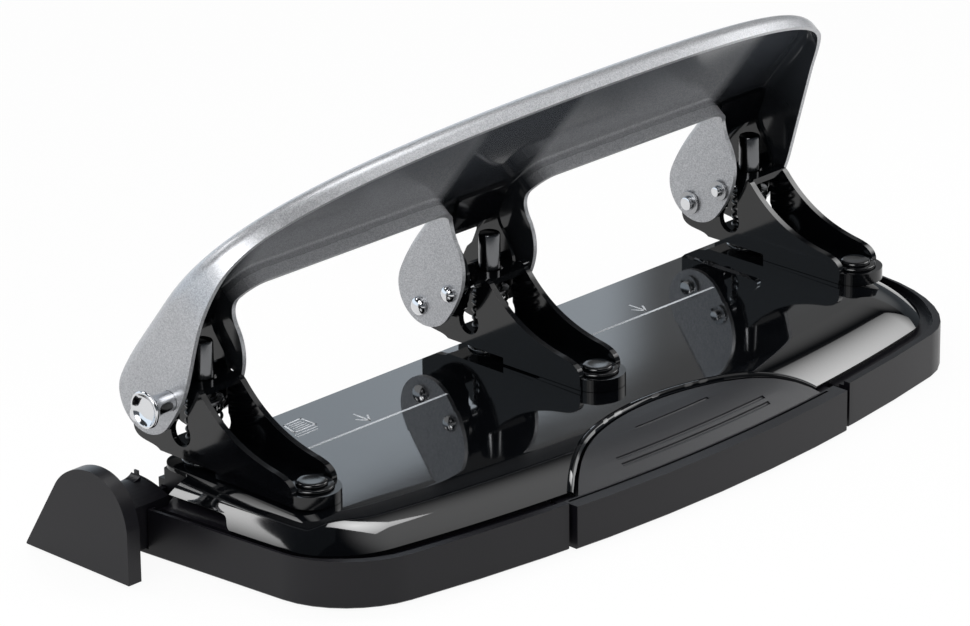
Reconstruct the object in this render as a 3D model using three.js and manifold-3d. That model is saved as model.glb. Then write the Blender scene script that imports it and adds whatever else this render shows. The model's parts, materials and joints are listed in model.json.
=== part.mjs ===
// Three-hole desk punch: a steel cover plate on a moulded base carries three punch
// heads, and one long formed-steel handle drives all three punches.
// Millimetres, +Z up, +X along the row of punches, -Y towards the chip tray.
// Origin: on the resting plane, below the middle punch.
import * as THREE from "three";
import { mergeVertices } from "three/addons/utils/BufferGeometryUtils.js";
import Module from "manifold-3d";

const wasm = await Module();
wasm.setup();

// ---------------------------------------------------------------- driving dimensions
const HOLE_PITCH = 107.95; // between neighbouring punches
const HOLE_DIAMETER = 7.1; // the hole that a punch makes

const FOOT_HEIGHT = 0.5; // rubber standing out below the housing
const LEFT_OVERHANG = 25.85; // base beyond the left punch; this end carries the paper guide
const LEFT_LEAN = 5.2; // the end closes in by this much up to its rear corner
const LEFT_BEND_START = 50;
const LEFT_CORNER = 27.8; // run of the rear corner along X
const RIGHT_OVERHANG = 20.65;
const RIGHT_LEAN = 3;
const RIGHT_BEND_START = 36;
const RIGHT_CORNER = 28.6;
const BASE_FRONT = 9.6; // front edge, ahead of the punch axes
const PLATE_FRONT = 7.3; // front edge of the plate, over a step in the housing
const BASE_REAR = 85.4; // crown of the rear edge, behind the punch axes
const BAND_TOP = 13.6; // top of the moulded band
const BAND_EDGE = 0.4; // its chamfer at the bottom
const BAND_WALL = 2.2;
const FLOOR_THICKNESS = 1.6;

const PLATE_TOP = 19.5;
const PLATE_THICKNESS = 1.0;
const PLATE_INSET = 3.8; // plate edge, inside the band's outer face
const PLATE_EDGE = 12.6; // height of the plate's lower edge
const SHOULDER_WIDTH = 17; // run of the rolled-down shoulder

const BAY_HALF_WIDTH = 54.6; // tray bay in the housing
const BAY_TOP = 12.4;
const SPLIT_HALF_WIDTH = 55.6; // cut in the band for the tray's front
const TRAY_FRONT_HALF_WIDTH = 54.0;
const TRAY_FRONT_PROUD = 1.3; // beyond the band
const TRAY_FRONT_TOP = 12.7;
const ARCH_HALF_WIDTH = 51; // thumb arch in plate and housing, at its foot
const ARCH_CROWN = 58.5; // crown of the arch, behind the punch axes
const ARCH_FOOT = 80;
const TRAY_WALL = 1.5;
const TRAY_DEPTH = 7.8; // inside
const THUMB_DROP = 0.9; // thumb surface, below the plate's shoulder

const DIE_RISE = 0.6; // die flange above the plate
const DIE_FLANGE_RADIUS = 6.6;
const DIE_BODY_RADIUS = 5.4;
const DIE_LENGTH = 4.4;
const THROAT = 1.3; // paper gap between die and jaw
const PAPER_STOP = 12.7; // behind the punch axes

const BRACKET_HALF_WIDTH = 8.1;
const BRACKET_WALL = 1.8;
const BRACKET_RISE = 10.2; // top of the bracket above the pivot axis
const JAW_THICKNESS = 2.5;
const FOOT_REACH = 40.4; // foot rivet, behind the punch axis
const FOOT_FLANGE_RADIUS = 7.9;
const FOOT_THICKNESS = 3.4;
const WASHER_RADIUS = 6.0;
const WASHER_THICKNESS = 0.9;
const RIVET_HEAD_RADIUS = 4.3;
const RIVET_HEAD_HEIGHT = 0.9;
const RIVET_SHANK_RADIUS = 2.0;

const PUNCH_RISE = 20.7; // top of a punch above the pivot axis, at rest
const PUNCH_TUCK = 2.2; // cutting end above the paper mouth, at rest
const CLIP_RADIUS = 5.4;
const CLIP_THICKNESS = 1.0;
const SPRING_WIRE_RADIUS = 0.45;
const SPRING_MEAN_RADIUS = 4.7;
const SPRING_TURNS = 4.5;

const PIVOT_HEIGHT = 32.2;
const PIVOT_PIN_RADIUS = 2.0;
const DRIVE_PIN_RADIUS = 1.5;
const CRANK_RADIUS = 13.1; // pivot to drive pin
const CRANK_REST_ANGLE = 29.7; // degrees above the horizontal, towards the rear
const PRESS_ANGLE = 45; // full stroke of the handle, degrees
const LOCK_STEM_RADIUS = 2.7;
const LOCK_TRAVEL = 2.6;
const LOCK_GAP = 0.35; // stem end to head bracket while unlocked
const LOCK_KNOB_RADIUS = 5.2;
const LOCK_STAND_OFF = 9.2; // knob face beyond the cheek

const HANDLE_LEAN = 38; // degrees from the vertical, towards the rear
const HANDLE_FACE = 14.0; // outer face of the main wall, from the pivot axis
const HANDLE_SHEET = 1.3;
const HANDLE_CROWN = 79.5; // pivot axis to the crown of the arch, along the wall
const CROWN_X = 32; // the arch is skewed: its crown stands right of the middle
const ARCH_LEFT_START = 32; // height at which the long left shoulder leaves the end
const ARCH_LEFT_SWEEP = 70;
const ARCH_RIGHT_START = 50;
const ARCH_RIGHT_SWEEP = 88;
const RIM_RADIUS = 4.4; // outer bend of the rim
const SILL_RADIUS = 2.1; // outer bend round the windows
const END_CHEEK = 11.2; // outer face of an end cheek, beyond its punch axis
const INNER_CHEEK = 11.7; // outer face of an outer head's inner cheek, from its punch axis
const MIDDLE_CHEEK = 15.2; // outer face of the middle head's left cheek
const MIDDLE_CHEEK_RIGHT = 14.4; // and of its right cheek
const WINDOW_TOP = 34.8; // lower edge of the beam, from the pivot axis along the wall
const WINDOW_CORNER = 9;
const FLANGE_DEPTH = 6.8; // of the turned rim and of the flange round the windows
const CHEEK_LOBE_RADIUS = 10.4;
const LEVER_SHEET = 1.1;
const LEVER_LOBE_RADIUS = 9.2;
const LEVER_TOP = 31.4;
const LEVER_WEB_FOOT = 21; // the web ends here, clear of the punch at full stroke
const LEVER_PLATE_FOOT = 14; // the side plates' straight edge ends here
const LEVER_WEB_SLOPE = 17; // degrees between the web and the main wall

const GUIDE_GAP = 11.6; // end plate, from the base's end
const GUIDE_PLATE_THICKNESS = 4.4;
const GUIDE_PLATE_HEIGHT = 30.2;
const GUIDE_PLATE_FRONT = 25; // lower front corner
const GUIDE_PLATE_REAR = 15.2; // rear edge, behind the punch axes
const GUIDE_BROW_FRONT = 11.6; // where the sloping front edge turns over
const GUIDE_BROW_HEIGHT = 22.6;
const ARM_TOP = 17.4;
const ARM_REAR = 3.6;
const ARM_OVERLAP = 9.2; // of the arm with the base's end
const GUIDE_IN = 8; // travel of the guide towards the heads

const RUNNING_GAP = 0.15; // round a pin or a punch that moves
const SEAT_GAP = 0.3; // between pieces that are fastened together

// ---------------------------------------------------------------- derived sizes
const rad = THREE.MathUtils.degToRad;
const PUNCH_RADIUS = HOLE_DIAMETER / 2;
const LEFT_END = HOLE_PITCH + LEFT_OVERHANG;
const RIGHT_END = HOLE_PITCH + RIGHT_OVERHANG;
const REAR_RADIUS = 4.863 * HOLE_PITCH; // of the bowed rear edge
const FAR = 2 * HOLE_PITCH; // reaches past every piece
const BASE_BOTTOM = FOOT_HEIGHT;
const FLOOR_TOP = BASE_BOTTOM + FLOOR_THICKNESS;
const DECK_TOP = PLATE_TOP - PLATE_THICKNESS - SEAT_GAP;
const JAW_BOTTOM = PLATE_TOP + DIE_RISE + THROAT;
const JAW_TOP = JAW_BOTTOM + JAW_THICKNESS;
const BRACKET_INNER = BRACKET_HALF_WIDTH - BRACKET_WALL;
const BRACKET_TOP = PIVOT_HEIGHT + BRACKET_RISE;
const PUNCH_REST_TOP = PIVOT_HEIGHT + PUNCH_RISE;
const PUNCH_REST_BOTTOM = JAW_BOTTOM + PUNCH_TUCK;
const FOOT_BOTTOM = PLATE_TOP + 0.1;
const FOOT_TOP = FOOT_BOTTOM + FOOT_THICKNESS;
// The drive pin swings evenly to both sides of the punch axis.
const PIVOT_Y = (CRANK_RADIUS * (1 + Math.cos(rad(CRANK_REST_ANGLE)))) / 2;
const SWING = (CRANK_RADIUS * (1 - Math.cos(rad(CRANK_REST_ANGLE)))) / 2;
const DRIVE_REST_Z = PIVOT_HEIGHT + CRANK_RADIUS * Math.sin(rad(CRANK_REST_ANGLE));
const DRIVE_LOW_ANGLE = CRANK_REST_ANGLE - PRESS_ANGLE;
const DRIVE_LOW_Z = PIVOT_HEIGHT + CRANK_RADIUS * Math.sin(rad(DRIVE_LOW_ANGLE));
const DRIVE_LOW_Y = PIVOT_Y - CRANK_RADIUS * Math.cos(rad(DRIVE_LOW_ANGLE));
const CLIP_TOP = DRIVE_REST_Z - DRIVE_PIN_RADIUS - 0.6;
const LOCK_REACH = LOCK_TRAVEL - LOCK_GAP - BRACKET_WALL + RUNNING_GAP; // past the bracket's wall
const LEVER_INNER = BRACKET_HALF_WIDTH + SEAT_GAP;
const LEVER_OUTER = LEVER_INNER + LEVER_SHEET;
const END_FACE = HOLE_PITCH + END_CHEEK;
const INNER_FACE = HOLE_PITCH - INNER_CHEEK;
const WALL_INNER = HANDLE_FACE - HANDLE_SHEET;
const FLANGE_EDGE = HANDLE_FACE - FLANGE_DEPTH;

const HEADS = [
  { side: "left", x: -HOLE_PITCH, outer: -END_CHEEK, inner: INNER_CHEEK },
  { side: "middle", x: 0, outer: -MIDDLE_CHEEK, inner: MIDDLE_CHEEK_RIGHT },
  { side: "right", x: HOLE_PITCH, outer: -INNER_CHEEK, inner: END_CHEEK },
];

// ---------------------------------------------------------------- materials
const material = (color, roughness, metalness) =>
  new THREE.MeshStandardMaterial({ color, roughness, metalness });
const SATIN_PLASTIC = material(0x2b2c31, 0.5, 0.0);
const BLACK_ENAMEL = material(0x101114, 0.12, 0.2);
const SPARKLE_PAINT = material(0xb6b7b9, 0.42, 0.6);
const CHROME = material(0xd8d9da, 0.12, 1.0);
const SPRING_STEEL = material(0x8d9094, 0.3, 1.0);
const TOOL_STEEL = material(0x9a9c9f, 0.25, 1.0);
const RUBBER = material(0x17171a, 0.9, 0.0);

// ---------------------------------------------------------------- solids
// A closed geometry as a manifold-3d solid.
function solid(geometry) {
  const bare = geometry.index ? geometry.toNonIndexed() : geometry.clone();
  bare.deleteAttribute("normal");
  bare.deleteAttribute("uv");
  const merged = mergeVertices(bare, 1e-4);
  return new wasm.Manifold(
    new wasm.Mesh({
      numProp: 3,
      vertProperties: new Float32Array(merged.attributes.position.array),
      triVerts: new Uint32Array(merged.index.array),
    }),
  );
}

function meshOf(name, body, look) {
  const data = body.getMesh();
  const stride = data.numProp;
  const points = new Float32Array((data.vertProperties.length / stride) * 3);
  for (let i = 0; i * 3 < points.length; i++)
    points.set(data.vertProperties.subarray(i * stride, i * stride + 3), i * 3);
  const geometry = new THREE.BufferGeometry();
  geometry.setAttribute("position", new THREE.BufferAttribute(points, 3));
  geometry.setIndex(new THREE.BufferAttribute(new Uint32Array(data.triVerts), 1));
  geometry.computeVertexNormals();
  const mesh = new THREE.Mesh(geometry, look);
  mesh.name = name;
  return mesh;
}

const joined = (bodies) => bodies.reduce((sum, body) => sum.add(body));
const cutBy = (body, cutters) => cutters.reduce((rest, c) => rest.subtract(c), body);

function box(x0, x1, y0, y1, z0, z1) {
  const geometry = new THREE.BoxGeometry(x1 - x0, y1 - y0, z1 - z0);
  return solid(geometry.translate((x0 + x1) / 2, (y0 + y1) / 2, (z0 + z1) / 2));
}

// A body turned about a vertical axis at (x, y) from [radius, height] points.
function turned(profile, x, y, sides) {
  const points = profile.map(([r, z]) => new THREE.Vector2(r, z));
  const geometry = new THREE.LatheGeometry(points, sides).rotateX(Math.PI / 2);
  return solid(geometry.translate(x, y, 0));
}

// The same about an axis along X at (y, z), from [radius, x] points.
function turnedX(profile, y, z, sides) {
  const points = profile.map(([r, x]) => new THREE.Vector2(r, x));
  const geometry = new THREE.LatheGeometry(points, sides);
  return solid(geometry.rotateZ(-Math.PI / 2).translate(0, y, z));
}

const rod = (r, z0, z1, x, y, sides = 16) =>
  turned([[0, z0], [r, z0], [r, z1], [0, z1]], x, y, sides);
const rodX = (r, x0, x1, y, z, sides = 16) =>
  turnedX([[0, x0], [r, x0], [r, x1], [0, x1]], y, z, sides);

// A plan shape (x, y) raised from z0 to z1.
function raised(shape, z0, z1, curveSegments = 12) {
  const options = { depth: z1 - z0, bevelEnabled: false, curveSegments };
  return solid(new THREE.ExtrudeGeometry(shape, options).translate(0, 0, z0));
}

// A side profile (y, z) carried along X from x0 to x1.
function across(shape, x0, x1, curveSegments = 12) {
  const options = { depth: x1 - x0, bevelEnabled: false, curveSegments };
  const geometry = new THREE.ExtrudeGeometry(shape, options);
  const turn = new THREE.Matrix4().makeBasis(
    new THREE.Vector3(0, 1, 0),
    new THREE.Vector3(0, 0, 1),
    new THREE.Vector3(1, 0, 0),
  );
  return solid(geometry.applyMatrix4(turn).translate(x0, 0, 0));
}

// A skin through rings of equal point count, closed by a flat cap at each end.
function loft(rings) {
  const count = rings[0].length;
  const points = rings.flat().flatMap((p) => [p.x, p.y, p.z]);
  const index = [];
  for (let r = 0; r + 1 < rings.length; r++)
    for (let i = 0; i < count; i++) {
      const a = r * count + i;
      const b = r * count + ((i + 1) % count);
      index.push(a, b, b + count, a, b + count, a + count);
    }
  const capOf = (ring) =>
    THREE.ShapeUtils.triangulateShape(ring.map((p) => new THREE.Vector2(p.x, p.y)), []);
  const last = (rings.length - 1) * count;
  for (const [a, b, c] of capOf(rings[0])) index.push(a, c, b);
  for (const [a, b, c] of capOf(rings.at(-1))) index.push(last + a, last + b, last + c);
  const geometry = new THREE.BufferGeometry();
  geometry.setAttribute("position", new THREE.Float32BufferAttribute(points, 3));
  geometry.setIndex(index);
  return solid(geometry);
}

// ---------------------------------------------------------------- base outline
// One half of the base's outline from the front round to the middle of the rear, for
// an end that leans in from front to rear before its corner starts.
function halfOutline(front, closing, bendStart, corner) {
  const rear = front - closing;
  const bendEnd = front - corner;
  const lean = closing / (BASE_FRONT + bendStart);
  const overrun = FAR / 5;
  const start = new THREE.Vector2(rear, -bendStart);
  const rearY = (x) => REAR_RADIUS - BASE_REAR - Math.sqrt(REAR_RADIUS ** 2 - x ** 2);
  const end = new THREE.Vector2(bendEnd, rearY(bendEnd));
  const rearSlope = bendEnd / REAR_RADIUS;
  const drop = start.y - end.y;
  const pull = 0.5 * drop;
  const reach = 0.5 * (start.x - end.x);
  const bend = new THREE.CubicBezierCurve(
    start,
    new THREE.Vector2(start.x - lean * pull, start.y - pull),
    new THREE.Vector2(end.x + reach, end.y + reach * rearSlope),
    end,
  );
  const half = [new THREE.Vector2(front + lean * overrun, BASE_FRONT + overrun)];
  half.push(...bend.getPoints(8));
  const steps = 5;
  for (let i = 1; i <= steps; i++) {
    const x = bendEnd * (1 - i / steps);
    half.push(new THREE.Vector2(x, rearY(x)));
  }
  return half;
}

// The base's outline seen from above, moved inwards by inset. It runs on past the
// front edge, where the pieces made from it are cut square.
function outline(inset) {
  const right = halfOutline(RIGHT_END, RIGHT_LEAN, RIGHT_BEND_START, RIGHT_CORNER);
  const left = halfOutline(LEFT_END, LEFT_LEAN, LEFT_BEND_START, LEFT_CORNER);
  const mirrored = left.slice(0, -1).reverse().map((p) => new THREE.Vector2(-p.x, p.y));
  const ring = [...right, ...mirrored];
  return ring.map((p, i) => {
    if (i === 0) return new THREE.Vector2(p.x - inset, p.y);
    if (i === ring.length - 1) return new THREE.Vector2(p.x + inset, p.y);
    const d1 = p.clone().sub(ring[i - 1]).normalize();
    const d2 = ring[i + 1].clone().sub(p).normalize();
    const inward = new THREE.Vector2(d1.y + d2.y, -d1.x - d2.x).normalize();
    return p.clone().addScaledVector(inward, inset);
  });
}

const ringAt = (inset, z) => outline(inset).map((p) => new THREE.Vector3(p.x, p.y, z)).reverse();
const frontCut = box(-FAR, FAR, BASE_FRONT, FAR, -FAR, FAR);
const plateCut = box(-FAR, FAR, PLATE_FRONT, FAR, BAND_TOP, FAR);

// Drop of the plate's shoulder at a distance in from its lower edge.
function shoulderHeight(fromEdge) {
  const drop = PLATE_TOP - PLATE_EDGE - PLATE_THICKNESS * 0.4;
  const radius = (SHOULDER_WIDTH ** 2 + drop ** 2) / (2 * drop);
  const run = Math.max(0, SHOULDER_WIDTH - fromEdge);
  return PLATE_TOP - radius + Math.sqrt(radius ** 2 - run ** 2);
}

// The domed block whose top is the shoulder surface, lowered by drop. Its rings lie
// closest together where the shoulder is steepest.
function dome(bottom, inset, drop, strips = 5) {
  const rings = [ringAt(PLATE_INSET + inset, bottom)];
  for (let i = 0; i <= strips; i++) {
    const run = SHOULDER_WIDTH * (i / strips) ** 1.25;
    rings.push(ringAt(PLATE_INSET + Math.max(run, inset), shoulderHeight(run) - drop));
  }
  return loft(rings);
}

// The thumb arch seen from above, moved outwards by grow.
function archShape(grow) {
  const rise = ARCH_FOOT - ARCH_CROWN;
  const radius = (ARCH_HALF_WIDTH ** 2 + rise ** 2) / (2 * rise);
  const centre = -ARCH_CROWN - radius;
  const half = Math.asin(ARCH_HALF_WIDTH / radius);
  const shape = new THREE.Shape();
  shape.absarc(0, centre, radius + grow, Math.PI / 2 - half, Math.PI / 2 + half, false);
  shape.lineTo(-ARCH_HALF_WIDTH - grow - 1, -BASE_REAR - 10);
  shape.lineTo(ARCH_HALF_WIDTH + grow + 1, -BASE_REAR - 10);
  return shape;
}

// ---------------------------------------------------------------- base pieces
const CHUTE_HALF_WIDTH = 5.6; // chip channel, either side of the punch axes
const CHUTE_END = HOLE_PITCH + 7;
const ARM_END = LEFT_END - ARM_OVERLAP;
const ARM_SEAT_END = ARM_END - GUIDE_IN - 0.4;
const RAIL_REAR = CHUTE_HALF_WIDTH + 0.9;
const RAIL_FRONT = BASE_FRONT - 1.3;
const RAIL_TOP = 11.5;
const RAIL_END = 36 - HOLE_PITCH;
const SCREW_OFFSET = 8;
const SCREWS = [
  [-HOLE_PITCH - SCREW_OFFSET, -0.35 * BASE_REAR],
  [HOLE_PITCH + SCREW_OFFSET, -0.35 * BASE_REAR],
  [-HOLE_PITCH + SCREW_OFFSET, -0.73 * BASE_REAR],
  [HOLE_PITCH - SCREW_OFFSET, -0.73 * BASE_REAR],
];
const SCREW_HEAD_RADIUS = 3.0;
const SCREW_SHANK_RADIUS = 1.4;
const REAR_FOOT_X = HOLE_PITCH - 24;
const REAR_FOOT_Y = -0.68 * BASE_REAR;
const REAR_FOOT_RADIUS = 8;
const STRIP_HALF_LENGTH = HOLE_PITCH - 8;
const STRIP_HALF_WIDTH = 4.2;
const FOOT_RECESS = 0.6;

function baseHousing() {
  const skirt = loft([
    ringAt(BAND_EDGE, BASE_BOTTOM),
    ringAt(0, BASE_BOTTOM + BAND_EDGE),
    ringAt(0, BAND_TOP),
  ]);
  const ledge = loft([
    ringAt(BAND_WALL, PLATE_EDGE - SEAT_GAP),
    ringAt(BAND_WALL, BAND_TOP + 10),
  ]);
  const deck = dome(BASE_BOTTOM + 1, PLATE_THICKNESS + 1.5, PLATE_THICKNESS + SEAT_GAP, 2);
  const cuts = [
    frontCut,
    plateCut,
    // tray bay, the slot in the band and the thumb arch
    box(-BAY_HALF_WIDTH, BAY_HALF_WIDTH, -BASE_REAR - 5, CHUTE_HALF_WIDTH, FLOOR_TOP, BAY_TOP),
    box(-SPLIT_HALF_WIDTH, SPLIT_HALF_WIDTH, -FAR, -ARCH_FOOT + 4, FLOOR_TOP, FAR),
    box(-SPLIT_HALF_WIDTH, SPLIT_HALF_WIDTH, -FAR, -BASE_REAR + 9, 0, FAR),
    raised(archShape(0.8), FLOOR_TOP, FAR, 16),
    // chip channel under the dies
    box(-CHUTE_END, CHUTE_END, -CHUTE_HALF_WIDTH, CHUTE_HALF_WIDTH, FLOOR_TOP, BAY_TOP),
    // seat of the paper guide's arm and its rail
    box(-FAR, -ARM_SEAT_END, -ARM_REAR - 0.4, FAR, FLOOR_TOP, FAR),
    box(-FAR, RAIL_END + 14, RAIL_REAR - 0.3, RAIL_FRONT + 0.3, FLOOR_TOP, RAIL_TOP + 0.3),
    // recesses of the rubber feet
    box(-STRIP_HALF_LENGTH - 0.2, STRIP_HALF_LENGTH + 0.2, -STRIP_HALF_WIDTH - 0.2,
      STRIP_HALF_WIDTH + 0.2, 0, BASE_BOTTOM + FOOT_RECESS),
  ];
  for (const x of [-REAR_FOOT_X, REAR_FOOT_X])
    cuts.push(rod(REAR_FOOT_RADIUS + 0.2, 0, BASE_BOTTOM + FOOT_RECESS, x, REAR_FOOT_Y, 20));
  for (const { x } of HEADS) {
    cuts.push(rod(DIE_BODY_RADIUS + 0.2, BAY_TOP - 1, DECK_TOP + 5, x, 0, 20));
    cuts.push(rod(RIVET_SHANK_RADIUS + 0.2, BAY_TOP - 4, DECK_TOP + 5, x, -FOOT_REACH, 10));
  }
  for (const [x, y] of SCREWS) {
    cuts.push(rod(SCREW_HEAD_RADIUS + 0.3, 0, BASE_BOTTOM + 2.2, x, y, 14));
    cuts.push(rod(SCREW_SHANK_RADIUS + 0.15, 0, 10, x, y, 8));
  }
  return cutBy(skirt.subtract(ledge).add(deck), cuts);
}

function coverPlate() {
  const shell = dome(PLATE_EDGE, 0, 0).subtract(
    dome(PLATE_EDGE - 1, PLATE_THICKNESS, PLATE_THICKNESS, 2),
  );
  const cuts = [
    box(-FAR, FAR, PLATE_FRONT, FAR, 0, FAR),
    raised(archShape(0.3), 0, FAR, 20),
    box(-FAR, -HOLE_PITCH, -ARM_REAR - 0.9, FAR, 0, ARM_TOP + 0.5),
  ];
  for (const { x } of HEADS) {
    cuts.push(rod(DIE_BODY_RADIUS + 0.2, 0, FAR, x, 0, 20));
    cuts.push(rod(RIVET_SHANK_RADIUS + 0.2, 0, FAR, x, -FOOT_REACH, 10));
  }
  return cutBy(shell, cuts);
}

function die(x) {
  const top = PLATE_TOP + DIE_RISE;
  const seat = PLATE_TOP + 0.1;
  const bore = PUNCH_RADIUS + 0.1;
  return turned(
    [
      [bore, top - DIE_LENGTH],
      [DIE_BODY_RADIUS, top - DIE_LENGTH],
      [DIE_BODY_RADIUS, seat],
      [DIE_FLANGE_RADIUS, seat],
      [DIE_FLANGE_RADIUS - 0.5, top],
      [bore, top],
      [bore, top - DIE_LENGTH],
    ],
    x, 0, 16,
  );
}

function chipTray() {
  const gap = 0.5;
  const frontInner = -BASE_REAR + 8.6;
  const thumb = dome(BASE_BOTTOM + 0.6, 0, THUMB_DROP).intersect(raised(archShape(-1.0), 0, FAR, 20));
  const rim = TRAY_WALL + FLOOR_TOP + SEAT_GAP + TRAY_DEPTH;
  const half = BAY_HALF_WIDTH - gap;
  const drawer = box(-half, half, -BASE_REAR + 6, CHUTE_HALF_WIDTH - gap, FLOOR_TOP + SEAT_GAP, rim);
  const front = loft([
    ringAt(BAND_EDGE - TRAY_FRONT_PROUD, BASE_BOTTOM),
    ringAt(-TRAY_FRONT_PROUD, BASE_BOTTOM + BAND_EDGE),
    ringAt(-TRAY_FRONT_PROUD, TRAY_FRONT_TOP),
  ]).subtract(dome(BASE_BOTTOM + 3, -SEAT_GAP, -SEAT_GAP)).intersect(
    box(-TRAY_FRONT_HALF_WIDTH, TRAY_FRONT_HALF_WIDTH, -FAR, frontInner, 0, FAR),
  );
  const floor = FLOOR_TOP + SEAT_GAP + TRAY_WALL;
  const hollow = box(-half + TRAY_WALL, half - TRAY_WALL, -ARCH_CROWN + 1.5,
    CHUTE_HALF_WIDTH - gap - TRAY_WALL, floor, FAR);
  const under = box(-half + TRAY_WALL, half - TRAY_WALL, frontInner + 0.9,
    -ARCH_CROWN + 2, floor, floor + 6.4);
  const lift = box(-FAR, FAR, frontInner - 0.1, 0, 0, FLOOR_TOP + SEAT_GAP);
  return cutBy(joined([drawer, thumb.subtract(lift), front]), [hollow, under]);
}

// Rubber strip below the punches and round pads at the rear.
const footStrip = () =>
  box(-STRIP_HALF_LENGTH, STRIP_HALF_LENGTH, -STRIP_HALF_WIDTH, STRIP_HALF_WIDTH, 0,
    BASE_BOTTOM + FOOT_RECESS - 0.1);
const rearFoot = (x) =>
  rod(REAR_FOOT_RADIUS, 0, BASE_BOTTOM + FOOT_RECESS - 0.1, x, REAR_FOOT_Y, 20);

function baseScrew(x, y) {
  const top = BASE_BOTTOM + 2.1;
  return turned(
    [[0, top - 1.8], [SCREW_HEAD_RADIUS, top - 1.8], [SCREW_HEAD_RADIUS, top],
      [SCREW_SHANK_RADIUS, top], [SCREW_SHANK_RADIUS, 9.6], [0, 9.6]],
    x, y, 12,
  );
}

// ---------------------------------------------------------------- paper guide
function paperGuide() {
  const inner = -LEFT_END - GUIDE_GAP;
  const outer = inner - GUIDE_PLATE_THICKNESS;
  const bottom = FOOT_HEIGHT + 0.2;
  const plate = new THREE.Shape();
  const above = GUIDE_PLATE_HEIGHT * 1.086; // the bend's control points, to crown at the height
  plate.moveTo(-GUIDE_PLATE_REAR, bottom);
  plate.lineTo(GUIDE_PLATE_FRONT, bottom);
  plate.lineTo(GUIDE_BROW_FRONT, GUIDE_BROW_HEIGHT);
  plate.bezierCurveTo(GUIDE_BROW_FRONT * 0.43, above, -GUIDE_PLATE_REAR * 0.88, above,
    -GUIDE_PLATE_REAR, GUIDE_PLATE_HEIGHT * 0.51);
  const face = across(plate, outer, inner, 12);
  const arm = new THREE.Shape();
  const foot = FLOOR_TOP + 0.4;
  arm.moveTo(-ARM_REAR, foot);
  arm.lineTo(BASE_FRONT - 0.4, foot);
  arm.lineTo(BASE_FRONT - 0.4, ARM_TOP);
  arm.quadraticCurveTo(ARM_REAR * 0.7, ARM_TOP + 0.2, -ARM_REAR, ARM_TOP - 2.6);
  const block = across(arm, inner - 1, -ARM_END, 8);
  const rail = box(inner - 1, RAIL_END, RAIL_REAR, RAIL_FRONT, foot, RAIL_TOP);
  const lip = box(-ARM_END - 1.4, -ARM_END, BASE_FRONT - 1.9, BASE_FRONT - 0.4,
    ARM_TOP - 1, ARM_TOP + 1.2);
  return joined([face, block, rail, lip]);
}

// ---------------------------------------------------------------- punch head
// Side wall of the head bracket, as (y, z): a flared paper mouth at the front, a
// concave back running down to the foot.
function bracketSide() {
  const side = new THREE.Shape();
  const end = -FOOT_REACH - 1.2;
  side.moveTo(end, FOOT_BOTTOM + 1.2);
  side.lineTo(-PAPER_STOP, FOOT_BOTTOM + 0.6);
  side.lineTo(-PAPER_STOP, JAW_BOTTOM);
  side.lineTo(8.6, JAW_BOTTOM);
  side.lineTo(10.2, JAW_BOTTOM + 1.1);
  side.lineTo(12.8, JAW_BOTTOM + 1.2);
  side.lineTo(17.2, JAW_BOTTOM + 2.2);
  side.quadraticCurveTo(18.9, JAW_BOTTOM + 3, 18.9, JAW_BOTTOM + 5.4);
  side.absarc(PIVOT_Y, PIVOT_HEIGHT, 6.6, rad(2), rad(82), false);
  side.lineTo(6.6, BRACKET_TOP);
  side.lineTo(-6.2, BRACKET_TOP);
  side.quadraticCurveTo(-7.4, BRACKET_TOP, -8.2, BRACKET_TOP - 1);
  side.quadraticCurveTo(-PAPER_STOP - 6.8, PIVOT_HEIGHT - 1.6, end + 7, FOOT_TOP + 4.6);
  side.quadraticCurveTo(end, FOOT_TOP + 3.2, end, FOOT_BOTTOM + 1.2);
  return side;
}

// The slot that the drive pin runs in: a waist between two round ends. The lock
// stem fits the ends but not the waist.
function driveSlot(x0, x1) {
  const end = LOCK_STEM_RADIUS + 0.2;
  const waist = SWING + DRIVE_PIN_RADIUS + 0.2;
  const low = 3.75;
  return joined([
    rodX(end, x0, x1, SWING, DRIVE_REST_Z, 10),
    rodX(low, x0, x1, DRIVE_LOW_Y + 0.8, DRIVE_LOW_Z - 0.2, 10),
    box(x0, x1, -waist, waist, DRIVE_LOW_Z, DRIVE_REST_Z + 0.8),
  ]);
}

function headBracket(x) {
  const w = BRACKET_HALF_WIDTH;
  const i = BRACKET_INNER;
  const walls = across(bracketSide(), -w, w, 4).subtract(box(-i, i, -FAR, FAR, 0, FAR));
  const top = box(-i - 0.1, i + 0.1, -7.2, 6.0, BRACKET_TOP - 1.8, BRACKET_TOP);
  const jaw = box(-i - 0.1, i + 0.1, -PAPER_STOP - 1.2, 8.4, JAW_BOTTOM, JAW_TOP);
  const stop = box(-i - 0.1, i + 0.1, -PAPER_STOP - 3, -PAPER_STOP, FOOT_BOTTOM, JAW_TOP);
  const foot = new THREE.Shape();
  foot.moveTo(-w, -PAPER_STOP);
  foot.lineTo(-w, -FOOT_REACH);
  foot.absarc(0, -FOOT_REACH, FOOT_FLANGE_RADIUS, Math.PI, Math.PI * 2, false);
  foot.lineTo(w, -PAPER_STOP);
  const sole = raised(foot, FOOT_BOTTOM, FOOT_TOP, 6);
  const bracket = joined([walls, top, jaw, stop, sole]);
  const bore = PUNCH_RADIUS + RUNNING_GAP;
  return cutBy(bracket, [
    rod(bore, 0, FAR, 0, 0, 16),
    rod(RIVET_SHANK_RADIUS + 0.2, 0, FAR, 0, -FOOT_REACH, 10),
    rodX(PIVOT_PIN_RADIUS + RUNNING_GAP, -20, 20, PIVOT_Y, PIVOT_HEIGHT, 10),
    driveSlot(-20, -i + LOCK_REACH),
    driveSlot(i - LOCK_REACH, 20),
  ]).translate([x, 0, 0]);
}

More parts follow.
